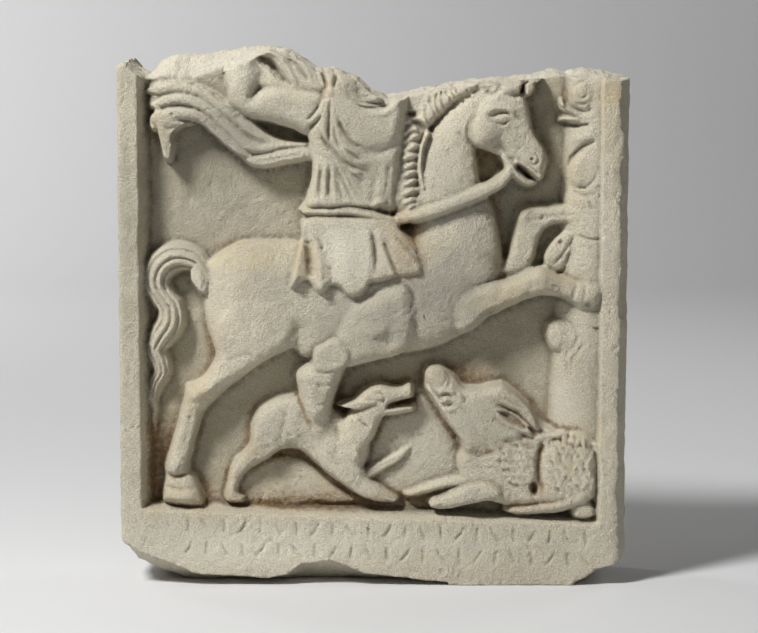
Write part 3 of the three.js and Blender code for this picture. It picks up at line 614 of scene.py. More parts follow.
def carveLeg():
    # knee to the right, calf and boot down to the left
    mass([(262, 304), (250, 297), (241, 283), (235, 268), (229, 258), (230, 240), (244, 230), (270, 236),
        (300, 243), (314, 258), (319, 278), (316, 300), (309, 318), (285, 314)],
        [(300, 288, 41), (275, 275, 41), (248, 262, 39), (290, 255, 35), (285, 305, 40)], rim=17, base=22,
        blend=4)
    mass([(247, 234), (241, 216), (234, 196), (231, 176), (228, 160), (223, 151), (215, 153), (207, 168),
        (200, 190), (195, 210), (193, 224), (199, 232), (212, 238), (230, 240)],
        [(220, 222, 41), (215, 195, 39), (221, 168, 31), (222, 156, 24)], rim=15, base=16, blend=2)
    mass([(212, 236), (214, 250), (224, 257), (235, 262), (247, 253), (250, 242), (243, 232), (228, 228),
        (216, 229)],
        [(230, 245, 45)], rim=7, base=36, blend=1)
    crease([(216, 247), (228, 240), (246, 238)], 1.8, 2.6)
    crease([(222, 255), (232, 248), (248, 246)], 1.6, 2)
    fold([(250, 262), (268, 270), (290, 270)], 7, 1.6)
    crease([(200, 222), (212, 216), (238, 215)], 2.4, 1.6)
    crease([(205, 205), (217, 196), (230, 196)], 2.2, 1.4)
    fold([(213, 225), (212, 200), (218, 175)], 5, 1.6)
    crease([(304, 316), (312, 308), (317, 296)], 1.6, 4)


def carveNeckStump():
    # broken across, in its collar
    mass([(238, 521), (250, 524), (264, 519), (278, 516), (285, 509), (283, 501), (272, 497), (258, 499),
        (245, 505)],
        [(252, 512, 33), (266, 510, 36), (276, 506, 38)], rim=7, base=20, blend=1.5)
    sink([(276, 514), (286, 514), (290, 506), (287, 498), (279, 500), (275, 507)], 31, rim=3)
    crease([(244, 502), (256, 497), (270, 494.5), (282, 496), (289, 501)], 1.5, 3.4)
    crease([(250, 495), (264, 490), (278, 489), (291, 494)], 1.6, 2)


# Dog, boar, tree and snake
# a field of tufts: left, right, top, foot and how tall they are
beasts = {"tuft": 9.4, "bristles": 9, "haunch": (452, 501, 158, 104, 0.85),
          "shoulder": (380, 440, 152, 104, 0.65)}


def carveGround():
    # it rises a little between and below the beasts
    mass([(284, 184), (320, 202), (340, 182), (358, 152), (364, 112), (320, 94), (284, 100), (266, 122),
        (272, 155)],
        [(320, 150, 9), (340, 120, 9)], rim=14, base=1, blend=4)
    mass([(138, 128), (162, 138), (200, 136), (230, 110), (252, 92), (140, 90)],
        [(185, 112, 8)], rim=12, base=1, blend=4)


def carveDog():
    mass([(148, 154), (147, 170), (154, 187), (167, 197), (184, 203), (200, 203), (220, 198), (235, 188),
        (245, 182), (262, 180), (274, 172), (271, 155), (269, 142), (264, 128), (252, 114), (238, 112),
        (226, 120), (212, 132), (198, 144), (184, 146), (168, 142), (154, 136)],
        [(168, 175, 27), (200, 172, 27), (250, 150, 29), (235, 170, 26), (245, 128, 27), (200, 150, 23),
        (158, 155, 24)], rim=15, base=8, blend=3)
    mass([(150, 168), (146, 154), (139, 144), (131, 137), (126, 127), (123, 114), (120, 100), (123, 93),
        (140, 92), (142, 98), (136, 104), (138, 114), (144, 123), (154, 130), (168, 138), (182, 150),
        (172, 164)],
        [(160, 153, 26), (140, 132, 23), (129, 110, 20), (131, 97, 19)], rim=8, base=8, blend=4)
    mass([(226, 134), (233, 116), (250, 103), (266, 95), (282, 91), (295, 90), (300, 96), (292, 103),
        (280, 111), (268, 120), (264, 130), (250, 140)],
        [(245, 126, 27), (264, 109, 24), (290, 96, 22)], rim=9, base=9, blend=4)
    ridge([(262, 118, 7, 18), (278, 128, 6.5, 17), (292, 136, 6, 16), (304, 144, 5.5, 14),
        (312, 150, 3.5, 10)], lift=3, blend=2)
    crease([(266, 121), (282, 130), (300, 140)], 1.4, 2)
    mass([(232, 150), (236, 168), (244, 182), (254, 192), (266, 202), (284, 200), (288, 188), (280, 172),
        (273, 156), (260, 144)],
        [(256, 175, 29), (272, 193, 30)], rim=12, base=12, blend=5)
    mass([(251, 197), (260, 207), (270, 213), (281, 215), (292, 212), (302, 212), (310, 216), (315, 210),
        (314, 200), (303, 196), (292, 193), (288, 184), (278, 182), (266, 188), (256, 192)],
        [(270, 202, 32), (286, 204, 31), (304, 206, 29), (274, 189, 28)], rim=8, base=15, blend=3)
    ridge([(280, 186, 6.5, 28), (290, 187, 6, 28), (302, 188.5, 5.5, 26), (312, 190, 4, 23)], lift=10,
        blend=1.5)
    crease([(288, 192), (300, 194.5), (315, 197)], 1.5, 7, taper=False)
    hole(309, 209, 1.2, 2)
    crease([(274, 205), (279, 207), (285, 204)], 1.2, 2)
    swell(281, 202, 3, 2.4, 2.4)
    crease([(276, 200), (281, 198), (287, 200)], 1.1, 1.6)
    ridge([(274, 197, 3, 33), (260, 195, 5.5, 34.5), (248, 193, 4.5, 32), (238, 193, 2, 26)], lift=22,
        blend=1)
    crease([(268, 195), (256, 193.5), (244, 193)], 1.4, 2.4)
    crease([(257, 180), (263, 175), (271, 170)], 1.5, 1.8)
    crease([(186, 198), (183, 180), (179, 162), (173, 148)], 4, 1.6)
    crease([(198, 142), (210, 132), (222, 120), (236, 110), (252, 101)], 1.6, 1.6)
    fold([(153, 168), (157, 158), (163, 150)], 3, 1.6)
    crease([(234, 180), (237, 162), (235, 144), (230, 132)], 4, 1.8)
    fold([(247, 168), (254, 154), (256, 136)], 5, 2)
    crease([(260, 150), (264, 138), (262, 126)], 2, 1.2)
    for i in range(3):
        crease([(200 + 10 * i, 184 - 2 * i), (199 + 10 * i, 170 - 2 * i), (203 + 10 * i, 156 - 3 * i)], 2.6,
            0.8)
    for x in (288, 293):
        crease([(x, 101), (x + 1, 93)], 1, 1.8)


def carveBoar():
    # far leg, body, head
    ridge([(368, 116, 8, 25), (346, 112, 7, 23), (325, 106, 6.5, 21), (308, 101, 5, 17)], lift=4, blend=2)
    mass([(358, 135), (364, 150), (376, 160), (392, 168), (412, 166), (430, 160), (442, 148), (446, 130),
        (446, 105), (440, 90), (420, 88), (400, 90), (380, 98), (365, 110)],
        [(400, 135, 33), (425, 130, 32), (375, 130, 27), (415, 100, 30)], rim=15, base=10, blend=3)
    mass([(412, 164), (430, 172), (448, 168), (470, 168), (480, 150), (480, 100), (440, 92), (415, 100)],
        [(445, 135, 29), (460, 130, 31), (430, 150, 30)], rim=8, base=20, blend=3)
    mass([(440, 95), (440, 120), (441, 145), (446, 159), (462, 166), (480, 169), (493, 164), (500, 150),
        (503, 122), (500, 97), (480, 92)],
        [(470, 130, 33), (488, 130, 32), (455, 130, 32)], rim=13, base=12, blend=3)
    crease([(448, 162), (443, 148), (441, 132), (443, 116), (447, 100)], 3, 5)
    mass([(324, 216), (324, 226), (330, 232), (340, 233), (349, 229), (358, 222), (366, 213), (380, 212),
        (392, 215), (402, 215), (412, 202), (424, 186), (430, 170), (422, 155), (405, 152), (392, 148),
        (378, 143), (366, 144), (360, 156), (350, 170), (340, 184), (331, 198), (325, 208)],
        [(400, 175, 34), (385, 195, 35), (360, 200, 33), (340, 218, 33), (330, 224, 29), (385, 160, 33)],
        rim=12, base=13, blend=5)
    mass([(326, 222), (328, 231), (336, 234), (346, 231), (349, 222), (346, 213), (337, 211), (329, 213)],
        [(338, 223, 32)], rim=7, base=24, blend=2.5)
    crease([(350, 228), (351, 219), (347, 211), (340, 207)], 1.5, 2.2)
    crease([(331, 229), (338, 231), (345, 227), (347, 220), (343, 214), (336, 215)], 1.3, 1.8)
    crease([(327, 216), (334, 209), (341, 201)], 1.5, 5, taper=False)
    crease([(326, 205), (334, 193), (343, 179), (352, 165), (360, 152), (366, 142)], 1.6, 2.2)
    fold([(333, 202), (344, 187), (356, 169), (366, 153)], 3, 1.6)


def carveBoarFace():
    # eye, brow and cheek
    swell(347, 200, 3, 2.6, 3.4)
    crease([(340, 202), (347, 205), (354, 202)], 1.3, 3.2)
    crease([(341, 197), (348, 193.5), (355, 197)], 1.3, 3)
    fold([(338, 206), (347, 210), (357, 206)], 2.4, 2.8)
    fold([(340, 192), (349, 189), (358, 193)], 2.2, 1.8)
    crease([(362, 206), (366, 201), (365, 196)], 1.4, 2.6)
    crease([(352, 220), (359, 212), (370, 208)], 2.6, 1.4)
    # ear: an upper leaf and the hollow under it
    mass([(394, 202), (396, 212), (404, 216), (414, 210), (424, 202), (433, 192), (439, 180), (440, 169),
        (431, 174), (420, 185), (406, 192)],
        [(405, 205, 38), (430, 188, 37)], rim=6, base=28, blend=1)
    mass([(392, 192), (403, 192), (416, 188), (427, 180), (437, 169), (438, 163), (428, 164), (412, 170),
        (399, 179)],
        [(410, 184, 37), (430, 170, 36)], rim=5, base=29, blend=1)
    sink([(398, 189), (410, 189), (421, 183), (431, 172), (433, 167), (420, 171), (406, 179)], 30, rim=3.5)
    crease([(394, 196), (408, 191), (422, 183), (436, 170)], 1.4, 3)
    sink([(429, 173), (434, 172), (440, 167), (442, 162), (435, 163)], 20, rim=2.5)


def carveBoarLegs():
    crease([(364, 144), (378, 141), (392, 146), (404, 151), (420, 153)], 2.5, 1.4)
    mass([(329, 89), (331, 98), (345, 104), (358, 110), (370, 116), (384, 119), (397, 116), (406, 108),
        (404, 98), (385, 93), (365, 89), (345, 86)],
        [(390, 108, 37), (372, 104, 36), (345, 96, 31)], rim=9, base=16, blend=2)
    crease([(340, 101), (343, 94), (341, 87)], 1.4, 2)
    ridge([(484, 100, 12, 34), (462, 92, 9, 33), (440, 88, 8, 31), (420, 86, 6, 28), (408, 86, 3, 24)],
        lift=12, blend=2)
    crease([(422, 92), (424, 83)], 1.2, 2)
    mass([(476, 79), (477, 92), (486, 96), (497, 93), (500, 80), (488, 76)],
        [(487, 85, 30)], rim=6, base=14, blend=2)
    sink([(432, 106), (431, 114), (436, 119), (441, 115), (442, 104), (437, 100)], 20, rim=5)


def carveCoat():
    # short hooked locks in rows
    size = beasts["tuft"]
    random = np.random.default_rng(5)
    for name, turn in (("haunch", 25), ("shoulder", -20)):
        left, right, top, foot, tall = beasts[name]
        for row in range(math.ceil((top - foot) / (size * 0.86))):
            z = top - row * size * 0.86
            x = left + 4.5 * (row % 2)
            while x < right:
                tx, tz = x + random.uniform(-2, 2), z + random.uniform(-2, 2)
                a = math.radians(random.uniform(-45, 45) + turn)
                reach = size * random.uniform(0.42, 0.6)
                # the shoulder's left corners lie under the jaw and the foreleg
                if name == "haunch" or not (tx < 408 and tz < 122 or tx < 410 and tz > 146):
                    turns = [a + b for b in (-0.7, 0.2, 1.1, 1.9)]
                    lock = [(tx + reach * math.sin(b), tz + reach * math.cos(b)) for b in turns]
                    fold(lock, 2.2, random.uniform(1.1, 2) * tall, lean=0.3, fadeIn=0.3, fadeOut=0.15)
                    crease([(p[0] - 2, p[1] - 1.4) for p in lock], 1.2, random.uniform(1.1, 1.9) * tall)
                x += size


def carveBristles():
    # crest and tail
    mass([(405, 214), (418, 206), (432, 194), (445, 176), (460, 167), (452, 152), (430, 160), (412, 180)],
        [(430, 180, 27)], rim=5, base=22, blend=2)
    fold([(441, 164), (452, 164), (466, 166), (480, 167), (492, 163), (500, 153), (506, 138)], 3, 3)
    for i in range(beasts["bristles"]):
        a = math.radians(142 - 13 * i)
        x, z = 471 + 30 * math.cos(a), 131 + 31 * math.sin(a)
        crease([(x, z + 4), (x + 0.5 * math.cos(a), z - 2), (x - 1, z - 7)], 1.1, 2)
    ridge([(498, 154, 3, 31), (504, 142, 3.5, 33), (507, 126, 3.5, 33), (510, 112, 2.5, 31)], lift=20,
        blend=1.5)


def carveTree():
    # the ground rises to the right border
    ridge([(486, 138, 38, 25), (490, 200, 38, 26), (492, 250, 36, 27), (492, 300, 34, 27), (494, 350, 33, 28),
        (496, 400, 33, 28), (498, 450, 32, 28), (499, 500, 32, 28), (500, 530, 32, 27)], lift=0, blend=8,
        flat=1.7)


def carveLeaf():
    # over the far hoof
    mass([(446, 330), (446, 344), (452, 355), (460, 364), (471, 369), (478, 366), (477, 355), (473, 343),
        (468, 331), (456, 326)],
        [(458, 342, 21), (468, 355, 22), (452, 334, 16)], rim=6, base=12, blend=1.5)
    hole(463, 356, 1.8, 4)
    crease([(477, 364), (471, 353), (463, 342), (454, 332)], 1.6, 2.6)
    crease([(468, 364), (458, 354), (451, 342)], 1.3, 1.6)
    crease([(477, 352), (471, 341), (465, 332)], 1.3, 1.6)


def carveStalk():
    # with its knob under the raised hoof
    mass([(448, 262), (450, 275), (460, 280), (472, 276), (479, 265), (477, 253), (468, 246), (455, 247)],
        [(462, 262, 20)], rim=15, base=9, blend=4)
    crease([(456, 281), (468, 279), (477, 271), (480, 260), (475, 250), (469, 243), (470, 230), (471, 216)],
        1.6, 2.4)
    crease([(487, 257), (481, 247), (475, 239), (474, 225)], 1.6, 2.2)
    crease([(492, 287), (500, 288), (510, 289)], 1.8, 1.2)
    crease([(492, 273), (500, 270), (508, 270), (517, 271)], 1.4, 3)
    crease([(518, 268), (511, 262), (503, 254)], 1.8, 2.6)
    crease([(479, 364), (490, 360), (502, 360), (507, 363)], 1.5, 3)
    crease([(501, 359), (502, 350), (501, 338)], 2, 1.4)


def carveSnake():
    # with bud and leaves, and the overhanging break above
    crease([(497, 458), (490, 455), (481, 449), (473, 440), (468, 430)], 2.4, 6)
    fold([(460, 450), (472, 457), (486, 462), (497, 463)], 4, 3.5)
    mass([(491, 452), (482, 446), (474, 437), (470, 425), (474, 414), (485, 412), (494, 418), (499, 429),
        (498, 444)],
        [(485, 432, 27)], rim=9, base=20, blend=2)
    crease([(475, 413), (486, 411.5), (494, 418), (499, 428)], 1.4, 2.4)
    crease([(473, 410), (484, 404), (496, 404)], 1.6, 2.4)
    crease([(488, 402), (493, 394), (500, 388)], 1.6, 2)
    fold([(466, 403), (478, 398), (486, 391)], 4, 2)
    ridge([(463, 498, 2, 22), (464, 492, 3, 25), (470, 487, 3.5, 26), (478, 483, 3, 25), (484, 478, 2, 22)],
        lift=12, blend=1.5)
    ridge([(462, 479, 2, 22), (470, 479, 3, 25), (479, 478.5, 3, 24)], lift=12, blend=1.5)
    crease([(465, 485), (469, 482), (473, 480)], 1.2, 3)
    crease([(463, 477), (470, 473.5), (479, 472.5), (488, 474)], 1.9, 6, taper=False)
    mass([(476, 512), (471, 502), (472, 495), (479, 490), (487, 488), (493, 494), (495, 504), (491, 513),
        (483, 516)],
        [(483, 502, 29)], rim=8, base=20, blend=2)
    crease([(477, 504), (482, 500), (489, 504)], 1.2, 2.4)
    crease([(473, 498), (481, 493.5), (490, 497)], 1.2, 2.4)
    crease([(471, 493), (479, 488), (488, 487), (495, 493)], 1.4, 2.6)
    crease([(474, 508), (480, 514), (488, 519)], 1.4, 2)
    fold([(438, 514), (452, 512), (466, 506), (476, 514)], 5, 4)
    crease([(440, 508), (452, 505), (462, 499), (470, 499)], 1.8, 4)


# Borders, ledge, strokes and weathering
slab = {"wallLean": 9, "rightLean": 4.5, "wornFromLeft": 21, "wornFromRight": 512, "ledgeFall": 17,
        "ledgeRise": 5, "rows": 2, "pitch": 18, "rowGap": 7, "leftMargin": 72, "textTop": 7,
        "strokeHeight": 16, "strokeWidth": 1.35, "strokeDepth": 2.1, "leans": (0, 5, -1, -6, 1, 6, 0, -4),
        "weather": 0.8, "pits": 0.9, "undercut": 2.6, "highest": 41}


def ledgeFallAt(x):
    # the ledge falls a little to the right
    share = (x - board["left"]) / (board["right"] - board["left"])
    return slab["ledgeFall"] * (0.5 - share)


def fieldWalls():
    # height of the borders and the ledge over the ground
    x, z = mapX, mapZ
    wander = 0.9 * boardGrain(x, z, 26, 3) + 0.5 * boardGrain(x, z, 9, 4)
    leftWall = 1 - (x - board["fieldLeft"] + wander) / slab["wallLean"]
    rightWall = 1 - (board["fieldRight"] - x + wander) / slab["rightLean"]
    ledgeLine = board["ledge"] + ledgeFallAt(x)
    ledgeWall = 1 - (z - ledgeLine + wander) / slab["ledgeRise"]
    rise = board["fieldDepth"] * np.clip(np.maximum(np.maximum(leftWall, rightWall), ledgeWall), 0, 1)
    # rounded arrises
    soft = blur(rise, 1.6)
    rise = np.where(rise > 16, np.minimum(rise, soft + 0.6), soft)
    # worn outer edges and a face that isn't quite flat
    pastLeft, pastRight = np.maximum(slab["wornFromLeft"] - x, 0), np.maximum(x - slab["wornFromRight"], 0)
    worn = 0.06 * pastLeft ** 2 + 0.022 * pastRight ** 2
    rise = rise - worn * (rise > 8)
    return rise + (rise > 20) * (0.8 * boardGrain(x, z, 40, 8) + 0.5 * boardGrain(x, z, 14, 9))


def carveStrokes():
    # rows of short strokes that are no letters
    start = board["left"] + slab["leftMargin"]
    end = board["right"] - slab["leftMargin"] * 0.6
    count = int((end - start) / slab["pitch"])
    for row in range(slab["rows"]):
        for i in range(count + 1):
            x = start + (end - start) * i / count
            high = board["foot"] + board["ledgeHeight"] + ledgeFallAt(x) - slab["textTop"]
            high -= row * (slab["strokeHeight"] + slab["rowGap"])
            low = high - slab["strokeHeight"]
            lean = slab["leans"][(i * 3 + row) % len(slab["leans"])]
            stroke = [(x + lean, high), (x + 0.2 * lean, (high + low) / 2), (x - lean, low)]
            crease(stroke, slab["strokeWidth"], slab["strokeDepth"])


def weathered(relief):
    # ground left by the claw chisel, worn skin, pits, and nothing over the highest level
    x, z = mapX, mapZ
    low = 1 - smoothstep(relief, 3, 9)
    claw = 1.3 * boardGrain(x, z, 38, 11) + 0.9 * boardGrain(x, z, 15, 12) + 0.5 * boardGrain(x, z, 6, 13)
    relief = relief + low * claw
    soft, softer = blur(relief, 0.8), blur(relief, 1.6)
    steep = smoothstep(np.hypot(*np.gradient(soft, step)), 0.8, 2.5)
    relief = (0.5 * relief + 0.5 * soft) * (1 - steep) + (0.4 * soft + 0.6 * softer) * steep
    skin = 0.5 * boardGrain(x, z, 12, 15) + 0.45 * boardGrain(x, z, 5.5, 16) + 0.6 * boardGrain(x, z, 3.2, 17)
    relief += slab["weather"] * skin
    relief -= slab["pits"] * smoothstep(boardGrain(x, z, 2.8, 19) + 0.3 * boardGrain(x, z, 23, 20), 0.5, 0.95)
    over = np.maximum(relief - slab["highest"], 0)
    room = 5
    return relief - over + room * over / (room + over)


print("carving the relief map")
for carve in (
        carveTail, carveFarForeleg, carveTrunk, carveHindLeg, carveMane, carveHorseHead, carveEyeAndEars,
        carveNearForeleg, carveFlank, carveRein, carveBlownCloak, carveShoulderCloak, carveArm, carveChest,
        carveTunicFolds, carveCollar, carveBelt, carveSkirt, carveLeg, carveNeckStump, carveGround, carveDog,
        carveBoar, carveBoarFace, carveBoarLegs, carveCoat, carveBristles, carveTree, carveLeaf, carveStalk,
        carveSnake):
    carve()
join((slice(None), slice(None)), fieldWalls(), 2)
carveStrokes()
height = weathered(height)


# The block, with its broken outline as [x, z]
block = {"topFront": [(13, 530), (25, 537), (37, 526), (44, 520), (60, 517), (95, 516), (112, 521),
    (126, 530), (150, 541), (170, 549), (186, 545), (203, 539), (216, 530), (232, 529), (246, 526),
    (258, 521), (272, 508), (288, 501), (305, 503), (330, 508), (350, 512), (380, 515), (420, 517),
    (446, 519), (470, 521), (505, 523), (533, 519)],
    "topBack": [(13, 532), (25, 540), (37, 528), (44, 524), (52, 531), (72, 543), (128, 548), (150, 553),
    (170, 554), (186, 549), (203, 540), (216, 531), (232, 530), (246, 526), (258, 521), (272, 508),
    (288, 501), (305, 505), (330, 510), (350, 515), (380, 518), (420, 522), (457, 528), (470, 525),
    (486, 530), (505, 527), (533, 521)],
    "footFront": [(13, 62), (20, 52), (40, 40), (60, 33), (75, 28), (90, 21), (140, 18), (165, 15), (185, 19),
    (200, 31), (230, 34), (246, 28), (265, 20), (300, 17), (330, 13), (360, 10), (475, 10), (490, 17),
    (502, 25), (520, 30), (531, 38), (533, 52)],
    "footBack": [(13, 52), (30, 32), (60, 16), (78, 10), (480, 10), (500, 17), (520, 34), (533, 50)],
    "wornLeft": 4, "wornRight": 10, "wornShare": 0.24, "sideRough": 3.5, "columns": 520, "rows": 540,
    "layers": 20, "backStep": 4, "backShare": 0.985, "evenSpan": 9, "triangles": 196000}


def lineAt(name, x):
    return np.interp(x, *zip(*block[name]))


def unevenEdge(a, t, seed):
    points = np.stack([a, 90 * t + seed * 31.0, np.full_like(a, seed * 5.0)], axis=-1)
    sizes = ((17, 40, 0.55), (6.5, 50, 0.3), (3, 60, 0.15))
    return sum(share * grain(points, size, first + seed) for size, first, share in sizes)


def wornFront(t):
    # t is the share of the thickness behind the borders' plane
    return 1 - smoothstep(t, 0, block["wornShare"])


def edgeLine(name, x, t, start, end):
    # the front's broken line turns into the back's from start to end
    blend = smoothstep(t, start, end)
    return lineAt(name + "Front", x) * (1 - blend) + lineAt(name + "Back", x) * blend


def topEdge(x, t):
    z = edgeLine("top", x, t, 0.2, 0.6)
    return np.minimum(z - block["wornLeft"] * wornFront(t) + 2.2 * unevenEdge(x, t, 1), board["top"])


def footEdge(x, t):
    z = edgeLine("foot", x, t, 0.1, 0.4)
    rough = z + block["wornLeft"] * wornFront(t) * 0.5 + 1.6 * unevenEdge(x, t, 2)
    return np.where(z > board["foot"] + 1, np.maximum(rough, board["foot"]), board["foot"])


def sideEdge(z, t, left):
    inset, seed = (block["wornLeft"], 3) if left else (block["wornRight"], 4)
    belly = np.sin(math.pi * np.clip(t, 0, 1)) ** 0.5
    rough = block["sideRough"] * (0.5 + 0.7 * unevenEdge(z, t, seed)) * belly
    wander = 1 + 0.55 * unevenEdge(z, 0 * t, seed + 2)
    worn = np.maximum(inset * wornFront(t) * wander + rough, 0)
    return board["left"] + worn if left else board["right"] - worn


def sample(values, x, z):
    # the map's values at any board places
    i = np.clip((x - lineX[0]) / step, 0, len(lineX) - 1.001)
    j = np.clip((z - lineZ[0]) / step, 0, len(lineZ) - 1.001)
    i0, j0 = i.astype(int), j.astype(int)
    u, v = i - i0, j - j0
    return ((values[j0, i0] * (1 - u) + values[j0, i0 + 1] * u) * (1 - v)
            + (values[j0 + 1, i0] * (1 - u) + values[j0 + 1, i0 + 1] * u) * v)


def placed(x, y, z):
    # board places in the frame, in metres
    wide = (highCorner[0] - lowCorner[0]) / (board["right"] - board["left"])
    upper = (highCorner[2] - board["ledgeHeight"]) / (board["top"] - board["ledge"])
    up = np.where(z < board["ledge"], z - board["foot"], board["ledgeHeight"] + (z - board["ledge"]) * upper)
    return np.stack([(x - board["left"]) * wide + lowCorner[0], y, up], axis=-1) * mm


def even(row):
    span = block["evenSpan"]
    return np.convolve(np.pad(row, span, mode="edge"), np.ones(2 * span + 1) / (2 * span + 1), "valid")


def gridPlaces(columns, rows, front):
    # board places of a grid fitted into the broken outline, at the front or at the back
    u, v = np.linspace(0, 1, columns + 1), np.linspace(0, 1, rows + 1)
    x = np.tile(board["left"] + (board["right"] - board["left"]) * u, (rows + 1, 1))
    z = np.tile((board["foot"] + (board["top"] - board["foot"]) * v)[:, None], (1, columns + 1))
    for _ in range(4):
        y = groundY - sample(height, x, z) if front else np.full_like(x, backY)
        t = np.clip((y - frontY) / thickness, 0, 1)
        low, high = footEdge(x[0], even(t[0])), topEdge(x[-1], even(t[-1]))
        z = low + (high - low) * v[:, None]
        left, right = sideEdge(z[:, 0], t[:, 0], True), sideEdge(z[:, -1], t[:, -1], False)
        x = left[:, None] + (right - left)[:, None] * u
    return x, z


def undercut(x, z):
    # the foot of a steep wall goes in under it
    reach = 7
    slopeZ, slopeX = np.gradient(blur(height, 3), step)
    steep = np.hypot(slopeX, slopeZ)
    high, low = height.copy(), height.copy()
    n = int(reach / step)
    for axis in (0, 1):
        for shift in range(-n, n + 1, 2):
            high = np.maximum(high, np.roll(height, shift, axis=axis))
            low = np.minimum(low, np.roll(height, shift, axis=axis))
    share = np.clip((high - height) / np.maximum(high - low, 4), 0, 1)
    amount = slab["undercut"] * smoothstep(steep, 0.7, 2.2) * share * smoothstep(high - low, 6, 16)
    amount = np.where((mapX < 50) | (mapX > 520) | (mapZ < 88), 0, amount)
    dx = blur(amount * slopeX / np.maximum(steep, 0.01), 0.8)
    dz = blur(amount * slopeZ / np.maximum(steep, 0.01), 0.8)
    return x + sample(dx, x, z), z + sample(dz, x, z)


def ring(grid):
    # what lies round the edge of a grid, from the lower left corner to the right
    return np.concatenate([grid[0, :-1], grid[:-1, -1], grid[-1, :0:-1], grid[:0:-1, 0]])


def addGrid(bm, places):
    # a sheet of faces; gives its vertices by row and column
    rows, columns = places.shape[0] - 1, places.shape[1] - 1
    grid = np.empty((rows + 1, columns + 1), dtype=object)
    for vert in bmesh.ops.create_grid(bm, x_segments=columns, y_segments=rows, size=1)["verts"]:
        row, column = round((vert.co.y + 1) / 2 * rows), round((vert.co.x + 1) / 2 * columns)
        grid[row, column] = vert
        vert.co = places[row, column]
    return grid


def buildBlock():
    columns, rows, layers, coarse = (block[name] for name in ("columns", "rows", "layers", "backStep"))
    x, z = gridPlaces(columns, rows, True)
    y = groundY - sample(height, x, z)
    ringX = ring(x)
    inner = (slice(3, -3), slice(3, -3))
    x[inner], z[inner] = undercut(x[inner], z[inner])
    bm = bmesh.new()
    ringAt = bm.verts.layers.int.new("ringAt")
    for k, vert in enumerate(ring(addGrid(bm, placed(x, y, z)))):
        vert[ringAt] = k
    # the front's edge goes back in layers
    edges = [e for e in bm.edges if e.is_boundary]
    startT = (ring(y) - frontY) / thickness
    shares = np.meshgrid(np.linspace(0, 1, columns + 1), np.linspace(0, 1, rows + 1))
    shareU, shareV = (ring(share) for share in shares)
    for layer in range(1, layers + 1):
        t = startT + (1 - startT) * (layer / layers) ** 1.15
        depth = np.clip(t, 0, 1)
        layerX = ringX
        for _ in range(3):
            low, high = footEdge(layerX, depth), topEdge(layerX, depth)
            layerZ = low + (high - low) * shareV
            left, right = sideEdge(layerZ, depth, True), sideEdge(layerZ, depth, False)
            layerX = left + (right - left) * shareU
        places = placed(layerX, frontY + t * thickness, layerZ)
        made = bmesh.ops.extrude_edge_only(bm, edges=edges)["geom"]
        edges = [e for e in made if isinstance(e, bmesh.types.BMEdge) and e.is_boundary]
        last = {vert[ringAt]: vert for vert in made if isinstance(vert, bmesh.types.BMVert)}
        for k, vert in last.items():
            vert.co = places[k]
    # the back: a coarser grid whose edge takes every few points of the last layer
    x, z = gridPlaces(columns // coarse, rows // coarse, False)
    middleX, middleZ = (board["left"] + board["right"]) / 2, (board["foot"] + board["top"]) / 2
    x = middleX + (x - middleX) * block["backShare"]
    z = middleZ + (z - middleZ) * block["backShare"]
    edge = ring(addGrid(bm, placed(x, np.full_like(x, backY), z)))
    for k, vert in enumerate(edge):
        arc = [last[(coarse * k + i) % len(last)] for i in range(coarse + 1)]
        bm.faces.new([*arc, edge[(k + 1) % len(edge)], vert])
    bmesh.ops.recalc_face_normals(bm, faces=bm.faces)
    print("open edges:", sum(e.is_boundary for e in bm.edges), "faces:", len(bm.faces))
    mesh = bpy.data.meshes.new("steleMarble")
    bm.to_mesh(mesh)
    bm.free()
    return mesh


def readPoints(mesh):
    # the vertices in mm, and their normals
    values = np.zeros((2, len(mesh.vertices) * 3))
    mesh.vertices.foreach_get("co", values[0])
    mesh.vertices.foreach_get("normal", values[1])
    points, normals = values.reshape(2, -1, 3)
    return points / mm, normals


def writePoints(mesh, points):
    mesh.vertices.foreach_set("co", (points * mm).ravel())
    mesh.update()


def roughenSides(mesh):
    # hewn sides and back, broken top: moved along the normals, kept inside the slab's box
    points, normals = readPoints(mesh)
    upward, backward = normals[:, 2], normals[:, 1]
    behind = smoothstep(points[:, 1], groundY - 4, groundY + 12)
    rough = 2.0 * grain(points, 21, 71) + 1.1 * grain(points, 8, 72) + 0.5 * grain(points, 3.6, 73)
    hewnFace = np.maximum(smoothstep(backward, 0.5, 0.9), 0.9 * smoothstep(np.abs(normals[:, 0]), 0.6, 0.9))
    breakTop = (smoothstep(upward, 0.35, 0.75) * smoothstep(points[:, 2], 470, 500)
                * smoothstep(points[:, 1], frontY - 2, frontY + 10))
    breakFoot = smoothstep(-upward, 0.3, 0.7) * smoothstep(points[:, 1], frontY, frontY + 12)
    shell = np.maximum(np.maximum(behind, breakTop), 0.7 * breakFoot)
    chips = 1.6 * np.abs(grain(points, 14, 75)) + 1.2 * np.abs(grain(points, 6, 76))
    chips += 0.8 * grain(points, 3, 77)
    hewn = np.abs(grain(points * [1, 1, 0.35], 11, 74)) * 1.6
    amount = shell * (rough * (1 - 0.3 * hewnFace) - hewnFace * (1.4 * hewn + 1.5)) - breakTop * chips
    moved = points + normals * amount[:, None]
    flatFoot = points[:, 2] < 0.6
    moved[flatFoot] = points[flatFoot]
    writePoints(mesh, np.clip(moved, lowCorner + [0.1, 0.1, 0], highCorner - 0.1))


def triangleCount(mesh):
    return sum(len(face.vertices) - 2 for face in mesh.polygons)


